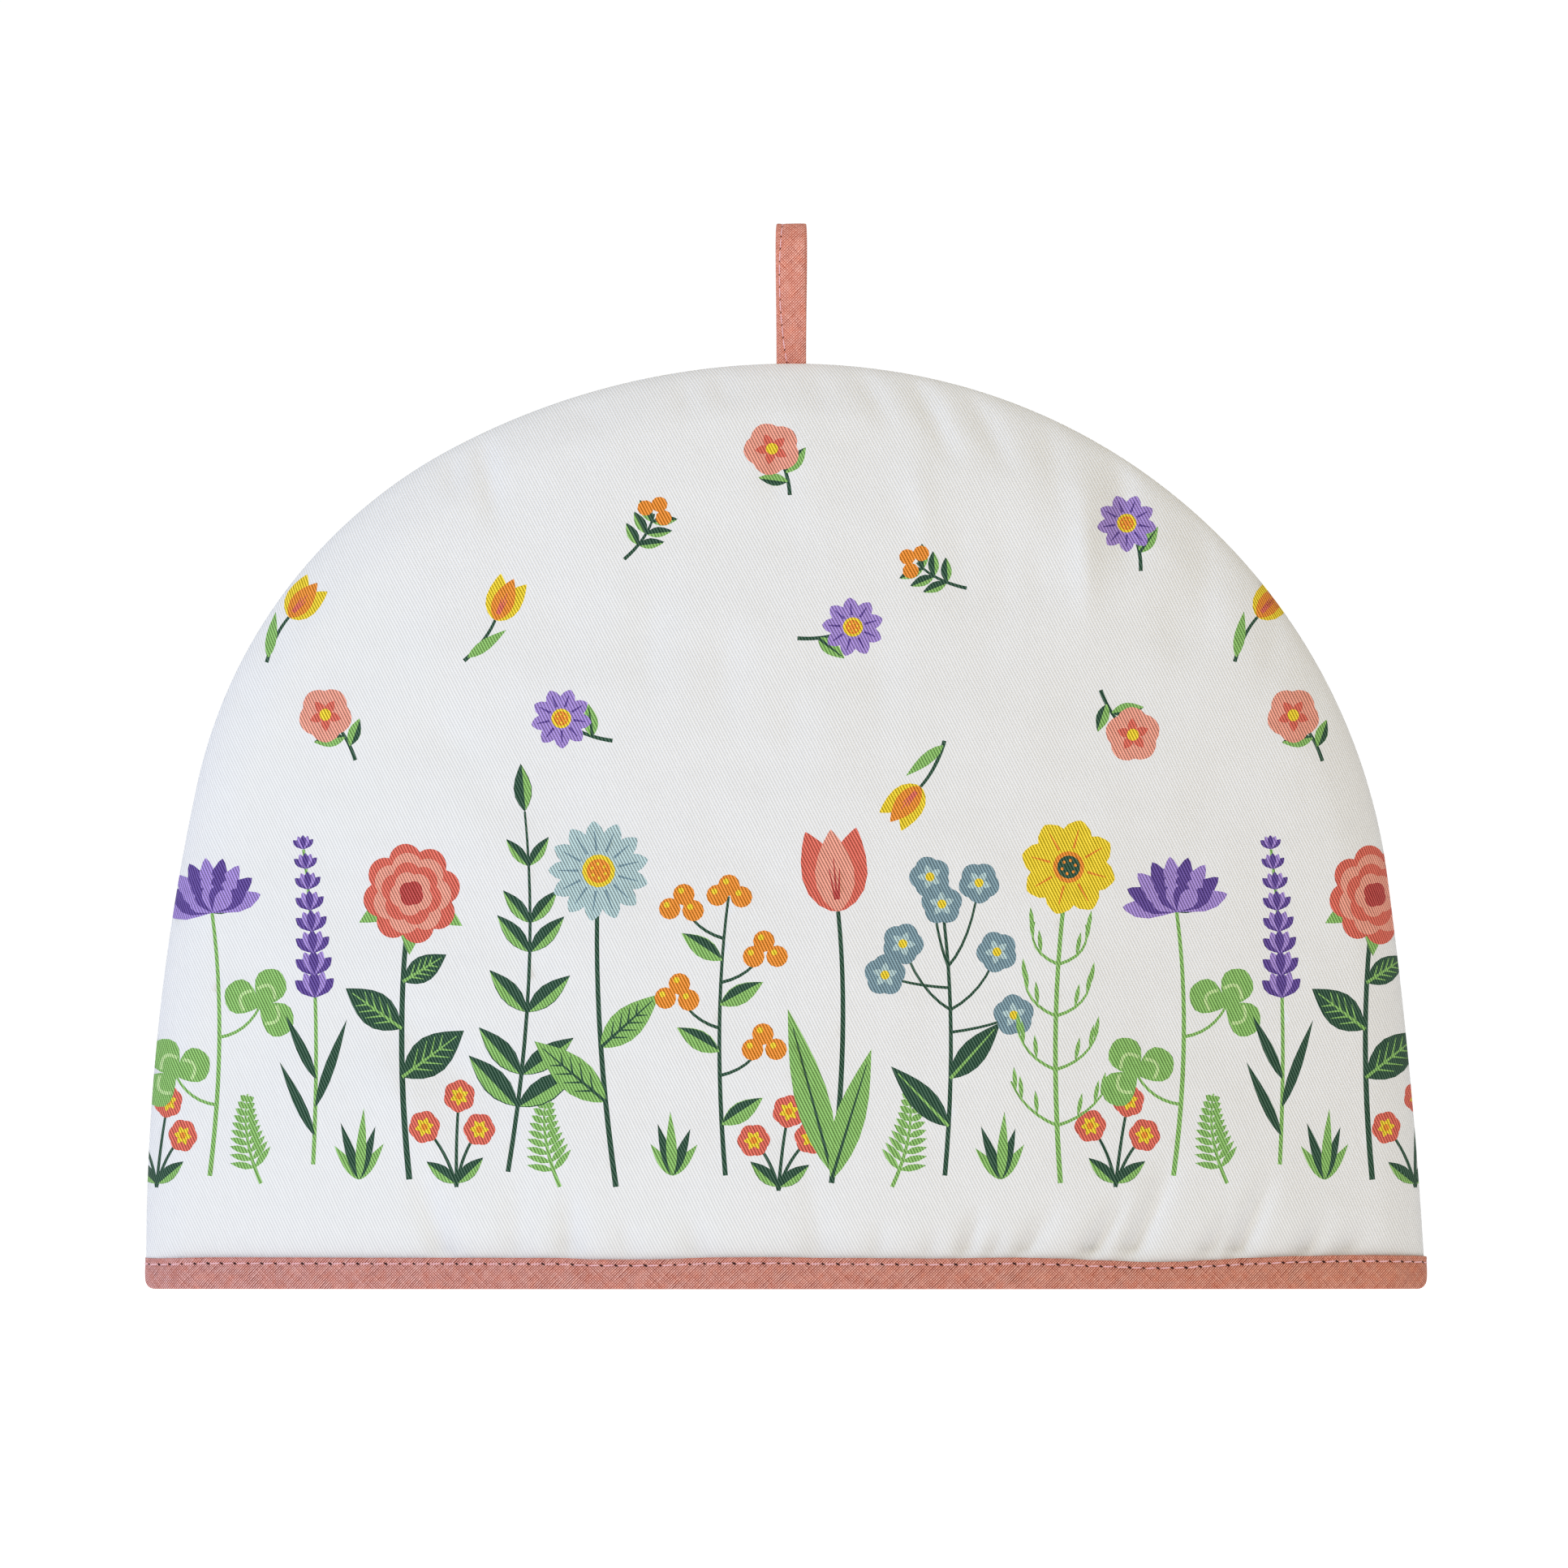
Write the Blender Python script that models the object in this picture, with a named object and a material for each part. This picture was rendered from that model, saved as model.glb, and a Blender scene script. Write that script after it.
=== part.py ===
"""Domed tea cosy: two padded panels with a turned seam, a bound hem and a hanging loop.

Metres, +Z up. The cosy stands on its hem, its front faces -Y, and the origin is on the
table under the middle of the hem.
"""
from collections import namedtuple
from math import asin, cos, exp, hypot, pi, radians, sin, sqrt

import bmesh
import bpy
from mathutils import Vector

MM = 0.001

# Dome: its outline in the seam plane, y = 0.
HEM_HALF_WIDTH = 170.0 * MM
DOME_HEIGHT = 246.1 * MM
APEX_X = 1.7 * MM

# Walls: how the panels stand apart and how thick they are.
GAP = 0.3 * MM
BINDING_GAP = 0.45 * MM
OPEN_HALF_DEPTH = 45.7 * MM
PROFILE_POWER = 2.2
HEM_WALL = 3.0 * MM
PAD_WALL = 6.4 * MM
PAD_PROUD = 1.8 * MM
PAD_START = 9.5 * MM
PAD_RISE = 9.0 * MM
PUCKER_EASE = 1.8 * MM

# Turned seam: each panel ends in a rounded nose, with a groove between the two.
NOSE_PEAK = 1.6 * MM
NOSE_ROUND = 1.5 * MM
NOSE_RUN = 1.25 * MM
GROOVE_RUN = 0.45 * MM
ALLOWANCE = 2.5 * MM
ALLOWANCE_RUN = 3.0 * MM

# Binding: a tape folded round the lower edge. The loop is made of the same tape.
TAPE = 1.0 * MM
BINDING_HEIGHT = 8.2 * MM
FOLD_RADIUS = 1.5 * MM
TOP_ROUND = 0.3 * MM
PANEL_BOTTOM = TAPE + GAP
BINDING_STATIONS = 40

# Hanging loop.
LOOP_X = 1.4 * MM
LOOP_WIDTH = 8.2 * MM
LOOP_RISE = 37.4 * MM
LOOP_BELLY = 7.6 * MM
LOOP_TAPER = 1.4
LOOP_TAIL = 9.0 * MM
LOOP_TWIST = radians(6.0)
LOOP_STEPS = 30

# Panel mesh: a grid bent to the dome, with strips that follow the seam.
COLUMNS = 90
ROWS = 40
ROW_POWER = 1.3
SHOULDER_HEIGHT = 165.0 * MM
STRIPS = [inset * MM for inset in (11.0, 7.5, 5.0, 3.2, 2.2, 1.4, 0.8, 0.35, 0.0)]
KEPT_SHARE = 0.22

# Half of the dome: a lean at the hem, a long low arc, then the turn of the shoulder arc.
Half = namedtuple("Half", "side lean low_turn low_radius shoulder_turn")
LEFT = Half(-1, radians(-0.78), radians(12.95), 596.8 * MM, radians(49.61))
RIGHT = Half(1, radians(3.0), radians(4.55), 1393.0 * MM, radians(70.96))

# Puckers, in millimetres: from (x, z) to (to_x, to_z), a trough where deep is above 0 and a
# ridge where it is below. An anchored one is deepest at its first end, where the seam or the
# binding gathers the cloth; a loose one fades at both ends.
Pucker = namedtuple("Pucker", "x z to_x to_z half_width deep anchored")
FRONT_PUCKERS = [
    Pucker(-91, 219, -91, 210, 3.0, 0.5, True),
    Pucker(-83, 225, -78, 208, 3.0, 0.9, True),
    Pucker(-58, 236, -48, 228, 5.0, 0.6, True),
    Pucker(-22, 243, -18, 233, 3.0, 0.6, True),
    Pucker(20, 243, 27, 227, 2.5, 0.7, True),
    Pucker(30, 241, 43, 225, 3.0, 0.9, True),
    Pucker(46, 238, 56, 217, 3.5, 1.2, True),
    Pucker(59, 232, 72, 213, 4.0, 0.8, True),
    Pucker(81, 222, 91, 199, 5.0, 1.5, True),
    Pucker(110, 203, 106, 172, 6.0, 1.0, True),
    Pucker(130, 180, 127, 157, 5.0, 0.7, True),
    Pucker(33, 226, 36, 187, 5.0, -0.6, False),
    Pucker(76, 213, 79, 182, 4.0, -0.6, False),
    Pucker(-114, 76, -71, 44, 9.0, 0.9, False),
    Pucker(-87, 9, -96, 27, 3.5, 0.7, True),
    Pucker(-77, 9, -80, 19, 3.0, 0.5, True),
    Pucker(-60, 9, -59, 26, 4.0, 0.7, True),
    Pucker(-23, 9, -26, 20, 4.0, 0.5, True),
    Pucker(46, 9, 50, 20, 2.0, 0.8, True),
    Pucker(53, 9, 59, 21, 2.0, 0.8, True),
    Pucker(60, 9, 72, 23, 2.5, 0.9, True),
    Pucker(69, 9, 82, 26, 2.5, 1.0, True),
    Pucker(79, 9, 94, 31, 3.0, 1.2, True),
    Pucker(96, 9, 106, 24, 3.0, 1.0, True),
    Pucker(114, 9, 128, 30, 3.0, 1.2, True),
    Pucker(128, 9, 136, 24, 3.0, 0.9, True),
    Pucker(145, 9, 151, 21, 3.0, 0.7, True),
]
BACK_PUCKERS = [
    Pucker(-96, 216, -88, 196, 5.0, 1.2, True),
    Pucker(-61, 233, -55, 214, 4.0, 0.9, True),
    Pucker(-33, 241, -27, 226, 3.0, 0.7, True),
    Pucker(38, 240, 44, 222, 3.5, 0.9, True),
    Pucker(86, 219, 80, 198, 5.0, 1.1, True),
    Pucker(122, 190, 112, 168, 5.0, 0.8, True),
    Pucker(70, 90, 112, 52, 9.0, 0.9, False),
    Pucker(-132, 9, -124, 25, 3.0, 0.8, True),
    Pucker(-112, 9, -101, 28, 3.0, 1.1, True),
    Pucker(-94, 9, -84, 22, 2.5, 0.9, True),
    Pucker(-30, 9, -27, 24, 4.0, 0.7, True),
    Pucker(48, 9, 42, 24, 3.5, 0.8, True),
    Pucker(104, 9, 95, 27, 3.0, 0.9, True),
]

COTTON = ((0.82, 0.81, 0.78), 0.92)
PINK_TAPE = ((0.66, 0.30, 0.24), 0.90)

Arc = namedtuple("Arc", "x z start end radius")
Station = namedtuple("Station", "point inward")


def clear_scene():
    for item in list(bpy.data.objects):
        bpy.data.objects.remove(item, do_unlink=True)


def cloth_material(name, finish):
    colour, roughness = finish
    material = bpy.data.materials.new(name)
    material.use_nodes = True
    shader = material.node_tree.nodes["Principled BSDF"]
    shader.inputs["Base Color"].default_value = (*colour, 1.0)
    shader.inputs["Roughness"].default_value = roughness
    shader.inputs["Metallic"].default_value = 0.0
    return material


def add_object(name, bm, finish):
    bmesh.ops.recalc_face_normals(bm, faces=bm.faces)
    mesh = bpy.data.meshes.new(name)
    bm.to_mesh(mesh)
    bm.free()
    mesh.shade_smooth()
    mesh.set_sharp_from_angle(angle=radians(50))
    mesh.materials.append(cloth_material(f"{name}_cloth", finish))
    item = bpy.data.objects.new(name, mesh)
    bpy.context.scene.collection.objects.link(item)
    return item


# Outline of the dome


def half_arcs(half):
    """The three tangent arcs of one half, with x counted outwards from the middle.

    A heading is the angle from straight up, leaning inwards. The shoulder and crown radii
    follow from the end, because the last arc has to reach the apex level.
    """
    low = half.lean + half.low_turn
    headings = [half.lean, low, low + half.shoulder_turn, pi / 2]
    across = [cos(end) - cos(start) for start, end in zip(headings, headings[1:])]
    up = [sin(end) - sin(start) for start, end in zip(headings, headings[1:])]
    reach = half.side * APEX_X - HEM_HALF_WIDTH - half.low_radius * across[0]
    rise = DOME_HEIGHT - half.low_radius * up[0]
    scale = across[1] * up[2] - across[2] * up[1]
    shoulder = (reach * up[2] - across[2] * rise) / scale
    crown = (across[1] * rise - reach * up[1]) / scale
    arcs = []
    x, z = HEM_HALF_WIDTH, 0.0
    for index, radius in enumerate((half.low_radius, shoulder, crown)):
        arcs.append(Arc(x, z, headings[index], headings[index + 1], radius))
        x += radius * across[index]
        z += radius * up[index]
    return arcs


ARCS = {half.side: half_arcs(half) for half in (LEFT, RIGHT)}


def heading_at_height(side, z):
    """The arc that passes this height on one side, and its heading there."""
    for arc in ARCS[side]:
        lift = sin(arc.start) + (z - arc.z) / arc.radius
        if lift <= sin(arc.end) or arc is ARCS[side][-1]:
            return arc, asin(max(-1.0, min(1.0, lift)))


def half_width(side, z):
    arc, heading = heading_at_height(side, z)
    return arc.x + arc.radius * (cos(heading) - cos(arc.start))


def station_at_heading(side, heading):
    """A point of the outline, in (x, z), and the way inwards from it."""
    arc = next(arc for arc in ARCS[side] if heading <= arc.end or arc is ARCS[side][-1])
    x = arc.x + arc.radius * (cos(heading) - cos(arc.start))
    z = arc.z + arc.radius * (sin(heading) - sin(arc.start))
    return Station(Vector((side * x, z)), Vector((-side * cos(heading), -sin(heading))))


def outline_stations():
    """Stations from the left end of the hem, over the crown, to the right end."""
    run = SHOULDER_HEIGHT - PANEL_BOTTOM
    heights = [PANEL_BOTTOM + run * (row / ROWS) ** ROW_POWER for row in range(ROWS + 1)]
    flanks = {}
    crowns = {}
    for side in (-1, 1):
        headings = [heading_at_height(side, z)[1] for z in heights]
        flanks[side] = [station_at_heading(side, heading) for heading in headings]
        step = (pi / 2 - headings[-1]) / (COLUMNS / 2)
        crowns[side] = [station_at_heading(side, headings[-1] + step * index)
                        for index in range(1, COLUMNS // 2 + 1)]
    return flanks[-1] + crowns[-1] + crowns[1][-2::-1] + flanks[1][::-1]


# Shape of the padded walls


def lens_depth(x, z):
    """Half of the room between the panels: widest at the middle of the hem, nothing at the seam."""
    left, right = half_width(-1, z), half_width(1, z)
    reach = max((left + right) / 2, 1e-6)
    share = (x - (right - left) / 2) / reach
    profile = 1 - (max(z, 0.0) / DOME_HEIGHT) ** PROFILE_POWER
    return OPEN_HALF_DEPTH * max(profile, 0.0) * max(1 - share * share, 0.0)


def quarter_round(share):
    """Rises from 0 to 1 along a quarter circle as share goes from 0 to 1."""
    return sqrt(1 - (1 - min(share, 1.0)) ** 2)


def pad_share(z):
    """How far the padding has swollen above the binding, from 0 to 1."""
    return 1 - exp(-max(z - PAD_START, 0.0) / PAD_RISE)


def pucker_depth(x, z, puckers):
    total = 0.0
    for row in puckers:
        run_x, run_z = (row.to_x - row.x) * MM, (row.to_z - row.z) * MM
        length = hypot(run_x, run_z)
        from_x, from_z = x - row.x * MM, z - row.z * MM
        along = (from_x * run_x + from_z * run_z) / length ** 2
        across = (from_x * run_z - from_z * run_x) / length
        if along >= 1 or (along <= 0 and not row.anchored):
            continue
        fade = (1 - max(along, 0.0) ** 2) ** 2 if row.anchored else sin(pi * along) ** 2
        before = exp(-(min(along, 0.0) * length / (2 * row.half_width * MM)) ** 2)
        total += row.deep * MM * fade * before * exp(-(across / (row.half_width * MM)) ** 2)
    return total


def outer_depth(x, z, puckers=()):
    """How far the outside of a panel stands from the seam plane."""
    lens = lens_depth(x, z)
    clear = 1 - exp(-lens / ALLOWANCE_RUN)
    nose = NOSE_PEAK + NOSE_ROUND * quarter_round(lens / NOSE_RUN)
    free_of_tape = min(max(z - BINDING_HEIGHT, 0.0) / PUCKER_EASE, 1.0)
    relief = PAD_PROUD * pad_share(z) - free_of_tape * pucker_depth(x, z, puckers)
    return nose + lens + clear * relief


def inner_depth(x, z):
    """How far the inside of a panel stands from the seam plane: flat along the seam allowance."""
    lens = lens_depth(x, z)
    wall = HEM_WALL + (PAD_WALL - HEM_WALL) * pad_share(z)
    slope = 2 * OPEN_HALF_DEPTH * x / HEM_HALF_WIDTH ** 2
    free = outer_depth(x, z) - wall * sqrt(1 + slope * slope) - ALLOWANCE * exp(-lens / ALLOWANCE_RUN)
    groove = (NOSE_PEAK - GAP / 2) * (1 - quarter_round(lens / GROOVE_RUN))
    return max(GAP / 2 + groove, free)


def bent_grid(bm, stations):
    """Bend a grid to the dome inside the first strip, and note the station of each rim vertex."""
    rim = bm.verts.layers.int.new("station")
    ring = [station.point + station.inward * STRIPS[0] for station in stations]
    ring[0].y = ring[-1].y = PANEL_BOTTOM
    left, crown, right = ring[:ROWS + 1], ring[ROWS:ROWS + COLUMNS + 1], ring[:ROWS + COLUMNS - 1:-1]
    bmesh.ops.create_grid(bm, x_segments=COLUMNS, y_segments=ROWS, size=0.5)
    for vert in bm.verts:
        column = round((vert.co.x + 0.5) * COLUMNS)
        row = round((vert.co.y + 0.5) * ROWS)
        u, v = column / COLUMNS, (row / ROWS) ** ROW_POWER
        hem = ring[0].lerp(ring[-1], u)
        flank = left[row].lerp(right[row], u)
        corners = hem.lerp(left[-1].lerp(right[-1], u), v)
        spot = hem.lerp(crown[column], v) + flank - corners
        vert.co = (spot.x, 0.0, spot.y)
        if column == 0:
            vert[rim] = row + 1
        elif row == ROWS:
            vert[rim] = ROWS + column + 1
        elif column == COLUMNS:
            vert[rim] = len(stations) - row
    return rim


def add_strips(bm, stations, rim):
    """Extrude the rim outwards, strip by strip, to the outline."""
    edges = [edge for edge in bm.edges if edge.is_boundary and all(vert[rim] for vert in edge.verts)]
    for inset in STRIPS[1:]:
        grown = bmesh.ops.extrude_edge_only(bm, edges=edges)["geom"]
        edges = [item for item in grown if isinstance(item, bmesh.types.BMEdge)]
        for vert in (item for item in grown if isinstance(item, bmesh.types.BMVert)):
            station = stations[vert[rim] - 1]
            spot = station.point + station.inward * inset
            at_hem = vert[rim] in (1, len(stations))
            vert.co = (spot.x, 0.0, PANEL_BOTTOM if at_hem else spot.y)


def make_panel(name, side, puckers):
    """One padded wall: side is -1 for the front and 1 for the back."""
    stations = outline_stations()
    bm = bmesh.new()
    rim = bent_grid(bm, stations)
    add_strips(bm, stations, rim)
    inside = list(bm.verts)
    grown = bmesh.ops.extrude_face_region(bm, geom=bm.faces[:])["geom"]
    outside = [item for item in grown if isinstance(item, bmesh.types.BMVert)]
    for vert in inside:
        vert.co.y = side * inner_depth(vert.co.x, vert.co.z)
    for vert in outside:
        vert.co.y = side * outer_depth(vert.co.x, vert.co.z, puckers)
    bmesh.ops.remove_doubles(bm, verts=bm.verts, dist=0.02 * MM)
    panel = add_object(name, bm, COTTON)
    thin = panel.modifiers.new("Fewer faces on the flat", 'DECIMATE')
    thin.ratio = KEPT_SHARE
    return panel


def make_loop_room():
    """Cutter for the room that the loop's ends take between the two panels."""
    bm = bmesh.new()
    bmesh.ops.create_cube(bm, size=1.0)
    low = DOME_HEIGHT - LOOP_TAIL - GAP
    high = DOME_HEIGHT + LOOP_TAIL
    size = Vector((LOOP_WIDTH + 2 * GAP, 2 * (TAPE + GAP), high - low))
    bmesh.ops.scale(bm, vec=size, verts=bm.verts)
    bmesh.ops.translate(bm, vec=(LOOP_X, 0.0, (low + high) / 2), verts=bm.verts)
    cutter = add_object("loop_room", bm, COTTON)
    cutter.hide_render = True
    cutter.display_type = 'WIRE'
    return cutter


def cut_room(panel, cutter):
    cut = panel.modifiers.new("Room for the loop", 'BOOLEAN')
    cut.operation = 'DIFFERENCE'
    cut.object = cutter


# Hem binding


def resample(line, count):
    """Points along a line, close together at its ends, where the binding turns the corner."""
    lengths = [0.0]
    for start, end in zip(line, line[1:]):
        lengths.append(lengths[-1] + (end - start).length)
    points = []
    index = 0
    for step in range(count + 1):
        target = lengths[-1] * (1 - cos(pi * step / count)) / 2
        while index < len(line) - 2 and lengths[index + 1] < target:
            index += 1
        share = (target - lengths[index]) / (lengths[index + 1] - lengths[index])
        points.append(line[index].lerp(line[index + 1], min(max(share, 0.0), 1.0)))
    return points


def hem_line(depth, outwards):
    """The front half of a closed plan line that runs a little way off a panel's face."""
    steps = 400
    line = []
    for step in range(steps + 1):
        x = -HEM_HALF_WIDTH * cos(pi * step / steps)
        line.append(Vector((x, -depth(x, PANEL_BOTTOM))))
    moved = []
    for index, spot in enumerate(line):
        before, after = line[max(index - 1, 0)], line[min(index + 1, steps)]
        run = (after - before).normalized()
        moved.append(spot + Vector((run.y, -run.x)) * outwards)
    return moved


def closed_ring(side, offset):
    """Stations of one section point, all the way round the hem."""
    if side == "outer":
        front = hem_line(outer_depth, offset)
        end = HEM_HALF_WIDTH + offset
    else:
        seam = HEM_HALF_WIDTH - ALLOWANCE_RUN
        front = [spot for spot in hem_line(inner_depth, -offset) if spot.y < -GAP and abs(spot.x) < seam]
        slope = (front[0].y - front[1].y) / (front[1].x - front[0].x)
        end = front[-1].x - front[-1].y / slope
    front = [Vector((-end, 0.0))] + front + [Vector((end, 0.0))]
    front = resample(front, BINDING_STATIONS)
    back = [Vector((spot.x, -spot.y)) for spot in reversed(front[1:-1])]
    return front + back


def binding_section():
    """The folded tape's section: which face it lies off, how far off, and the height."""
    face = BINDING_GAP + TAPE
    shoulder = BINDING_HEIGHT - TOP_ROUND
    cut_in = FOLD_RADIUS * (1 - sin(pi / 4))
    wall = [(BINDING_GAP, TAPE), (BINDING_GAP, shoulder), (face - TAPE / 2, BINDING_HEIGHT),
            (face, shoulder), (face, FOLD_RADIUS), (face - cut_in, cut_in), (face - FOLD_RADIUS, 0.0)]
    outer = [("outer", offset, z) for offset, z in wall]
    inner = [("inner", offset, z) for offset, z in reversed(wall)]
    return outer + inner


def make_binding():
    bm = bmesh.new()
    rings = []
    for side, offset, z in binding_section():
        ring = [bm.verts.new((spot.x, spot.y, z)) for spot in closed_ring(side, offset)]
        rings.append([bm.edges.new((ring[index - 1], ring[index])) for index in range(len(ring))])
    for ring, following in zip(rings, rings[1:] + rings[:1]):
        bmesh.ops.bridge_loops(bm, edges=ring + following)
    return add_object("hem_binding", bm, PINK_TAPE)


# Hanging loop


def loop_line():
    """Middle line of one leg, from where the legs part up to the fold, as (y, z)."""
    half = (LOOP_RISE - TAPE / 2) / 2
    middle = DOME_HEIGHT + half
    line = []
    for step in range(LOOP_STEPS + 1):
        angle = pi * step / LOOP_STEPS
        y = LOOP_BELLY * sin(angle) * sin(angle / 2) ** LOOP_TAPER
        line.append(Vector((y, middle - half * cos(angle))))
    return [spot for spot in line[:-1] if spot.x > TAPE / 2] + [line[-1]]


def make_loop():
    """A doubled tape: its ends lie together between the panels, and it opens into a loop above."""
    leg = loop_line()
    leg.insert(0, Vector((TAPE / 2, leg[0].y - TAPE)))
    edges = []
    for index, spot in enumerate(leg):
        before, after = leg[max(index - 1, 0)], leg[min(index + 1, len(leg) - 1)]
        run = (after - before).normalized()
        if index == 0:
            run = Vector((0.0, 1.0))
        if index == len(leg) - 1:
            run = Vector((-1.0, 0.0))
        aside = Vector((run.y, -run.x)) * TAPE / 2
        edges.append((spot + aside, spot - aside))
    bm = bmesh.new()
    crotch = bm.verts.new((0.0, 0.0, edges[0][1].y))
    fold = [bm.verts.new((0.0, 0.0, spot.y)) for spot in edges[-1]]
    foot_z = DOME_HEIGHT - LOOP_TAIL
    feet = []
    roots = []
    for side in (-1, 1):
        pairs = [[bm.verts.new((0.0, side * spot.x, spot.y)) for spot in pair] for pair in edges[1:-1]]
        root = bm.verts.new((0.0, side * edges[0][0].x, edges[0][0].y))
        pairs = [[root, crotch]] + pairs + [fold]
        for low, high in zip(pairs, pairs[1:]):
            bm.faces.new((low[0], low[1], high[1], high[0]))
        feet.append(bm.verts.new((0.0, side * TAPE, foot_z)))
        roots.append(root)
    bm.faces.new((feet[0], feet[1], roots[1], crotch, roots[0]))
    bmesh.ops.recalc_face_normals(bm, faces=bm.faces)
    grown = bmesh.ops.extrude_face_region(bm, geom=bm.faces[:])["geom"]
    moved = [item for item in grown if isinstance(item, bmesh.types.BMVert)]
    bmesh.ops.translate(bm, vec=(LOOP_WIDTH, 0.0, 0.0), verts=moved)
    bmesh.ops.translate(bm, vec=(-LOOP_WIDTH / 2, 0.0, 0.0), verts=bm.verts)
    for vert in bm.verts:
        turn = LOOP_TWIST * max(vert.co.z - DOME_HEIGHT, 0.0) / LOOP_RISE
        x, y = vert.co.x, vert.co.y
        vert.co.x = LOOP_X + x * cos(turn) - y * sin(turn)
        vert.co.y = x * sin(turn) + y * cos(turn)
    return add_object("hanging_loop", bm, PINK_TAPE)


def main():
    clear_scene()
    cutter = make_loop_room()
    cut_room(make_panel("front_panel", -1, FRONT_PUCKERS), cutter)
    cut_room(make_panel("back_panel", 1, BACK_PUCKERS), cutter)
    make_binding()
    make_loop()


main()
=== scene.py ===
# %% [markdown]
# # A domed tea cosy
#
# The real thing is four cut pieces: a padded front and back of printed cotton twill, a pink tape
# folded round the hem, and a loop of the same tape to hang it by. The solids that carry those
# pieces are already made, and this lesson dresses them: cloth, print, weave and stitches.

# %% Load the frame
from collections import namedtuple
from math import asin, ceil, cos, degrees, exp, hypot, log, pi, radians, sin, sqrt

import bmesh
import bpy
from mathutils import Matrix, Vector, noise
from mathutils.geometry import delaunay_2d_cdt
from mathutils.kdtree import KDTree


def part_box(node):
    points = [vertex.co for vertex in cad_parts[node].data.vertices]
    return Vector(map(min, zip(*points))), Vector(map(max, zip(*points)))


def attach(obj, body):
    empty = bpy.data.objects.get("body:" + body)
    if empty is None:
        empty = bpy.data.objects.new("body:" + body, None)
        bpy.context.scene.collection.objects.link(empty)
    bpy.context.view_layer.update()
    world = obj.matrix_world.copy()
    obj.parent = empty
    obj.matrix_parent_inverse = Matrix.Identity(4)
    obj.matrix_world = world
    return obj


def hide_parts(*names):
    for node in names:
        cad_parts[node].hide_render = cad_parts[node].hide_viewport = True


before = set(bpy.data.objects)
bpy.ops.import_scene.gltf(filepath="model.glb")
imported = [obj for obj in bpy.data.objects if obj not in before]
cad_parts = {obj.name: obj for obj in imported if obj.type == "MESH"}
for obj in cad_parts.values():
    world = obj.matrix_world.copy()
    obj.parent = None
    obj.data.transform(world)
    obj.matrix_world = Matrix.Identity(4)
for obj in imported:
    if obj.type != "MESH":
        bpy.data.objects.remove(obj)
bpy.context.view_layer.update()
MM = 0.001
print("nodes:", sorted(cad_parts))

# %% [markdown]
# ## The dome's outline
#
# A cosy's pattern piece is drawn with a few sweeps of a compass, and so is this one: three
# tangent arcs for each half, a long low one, the turn of the shoulder, and the crown. They could
# be a traced list of points, but arcs stay smooth at any spacing and say what the shape is. The
# two halves differ a little, because a sewn dome is never quite even.

# %% Arcs of the outline
HALF_HEM = 170.0 * MM
DOME_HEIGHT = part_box("front_panel")[1].z
APEX_X = 1.7 * MM
PANEL_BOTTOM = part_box("front_panel")[0].z
Half = namedtuple("Half", "side lean low_turn low_radius shoulder_turn")
Arc = namedtuple("Arc", "x z start end radius")
Station = namedtuple("Station", "point inward")
LEFT = Half(-1, radians(-0.78), radians(12.95), 596.8 * MM, radians(49.61))
RIGHT = Half(1, radians(3.0), radians(4.55), 1393.0 * MM, radians(70.96))


def half_arcs(half):
    """Three tangent arcs. A heading is the angle from straight up, leaning inwards."""
    low = half.lean + half.low_turn
    headings = [half.lean, low, low + half.shoulder_turn, pi / 2]
    across = [cos(end) - cos(start) for start, end in zip(headings, headings[1:])]
    up = [sin(end) - sin(start) for start, end in zip(headings, headings[1:])]
    reach = half.side * APEX_X - HALF_HEM - half.low_radius * across[0]
    rise = DOME_HEIGHT - half.low_radius * up[0]
    scale = across[1] * up[2] - across[2] * up[1]
    radii = [half.low_radius, (reach * up[2] - across[2] * rise) / scale,
             (across[1] * rise - reach * up[1]) / scale]
    arcs = []
    x, z = HALF_HEM, 0.0
    for index, radius in enumerate(radii):
        arcs.append(Arc(x, z, headings[index], headings[index + 1], radius))
        x += radius * across[index]
        z += radius * up[index]
    return arcs


ARCS = {half.side: half_arcs(half) for half in (LEFT, RIGHT)}
print("radii in mm:", [round(arc.radius / MM) for arcs in ARCS.values() for arc in arcs])


# %% Read the outline
def on_arc(arc, heading):
    """Distance from the middle, and height, where an arc has a heading."""
    return (arc.x + arc.radius * (cos(heading) - cos(arc.start)),
            arc.z + arc.radius * (sin(heading) - sin(arc.start)))


def half_width(side, z):
    """Half-width of the dome on one side at a height."""
    for arc in ARCS[side]:
        lift = sin(arc.start) + (z - arc.z) / arc.radius
        if lift <= sin(arc.end) or arc is ARCS[side][-1]:
            return on_arc(arc, asin(max(-1.0, min(1.0, lift))))[0]


def on_dome(point):
    return 0 < point.y < DOME_HEIGHT and abs(point.x) < half_width(1 if point.x > 0 else -1, point.y)


def half_stations(side, spacing):
    """Points up one half, from the hem to the apex, each with the way inwards."""
    corner = Vector((side * half_width(side, PANEL_BOTTOM), PANEL_BOTTOM))
    stations = [Station(corner, Vector((-side, 0.0)))]
    for arc in ARCS[side]:
        steps = ceil(arc.radius * (arc.end - arc.start) / spacing)
        for step in range(steps + 1):
            heading = arc.start + (arc.end - arc.start) * step / steps
            x, z = on_arc(arc, heading)
            if z > PANEL_BOTTOM + spacing / 3 and (step or arc is ARCS[side][0]):
                inward = Vector((-side * cos(heading), -sin(heading)))
                stations.append(Station(Vector((side * x, z)), inward))
    return stations


def seam_stations(spacing):
    return half_stations(-1, spacing) + half_stations(1, spacing)


print("half-width at 150 mm:", [round(half_width(side, 0.15) / MM, 1) for side in (-1, 1)])

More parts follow.
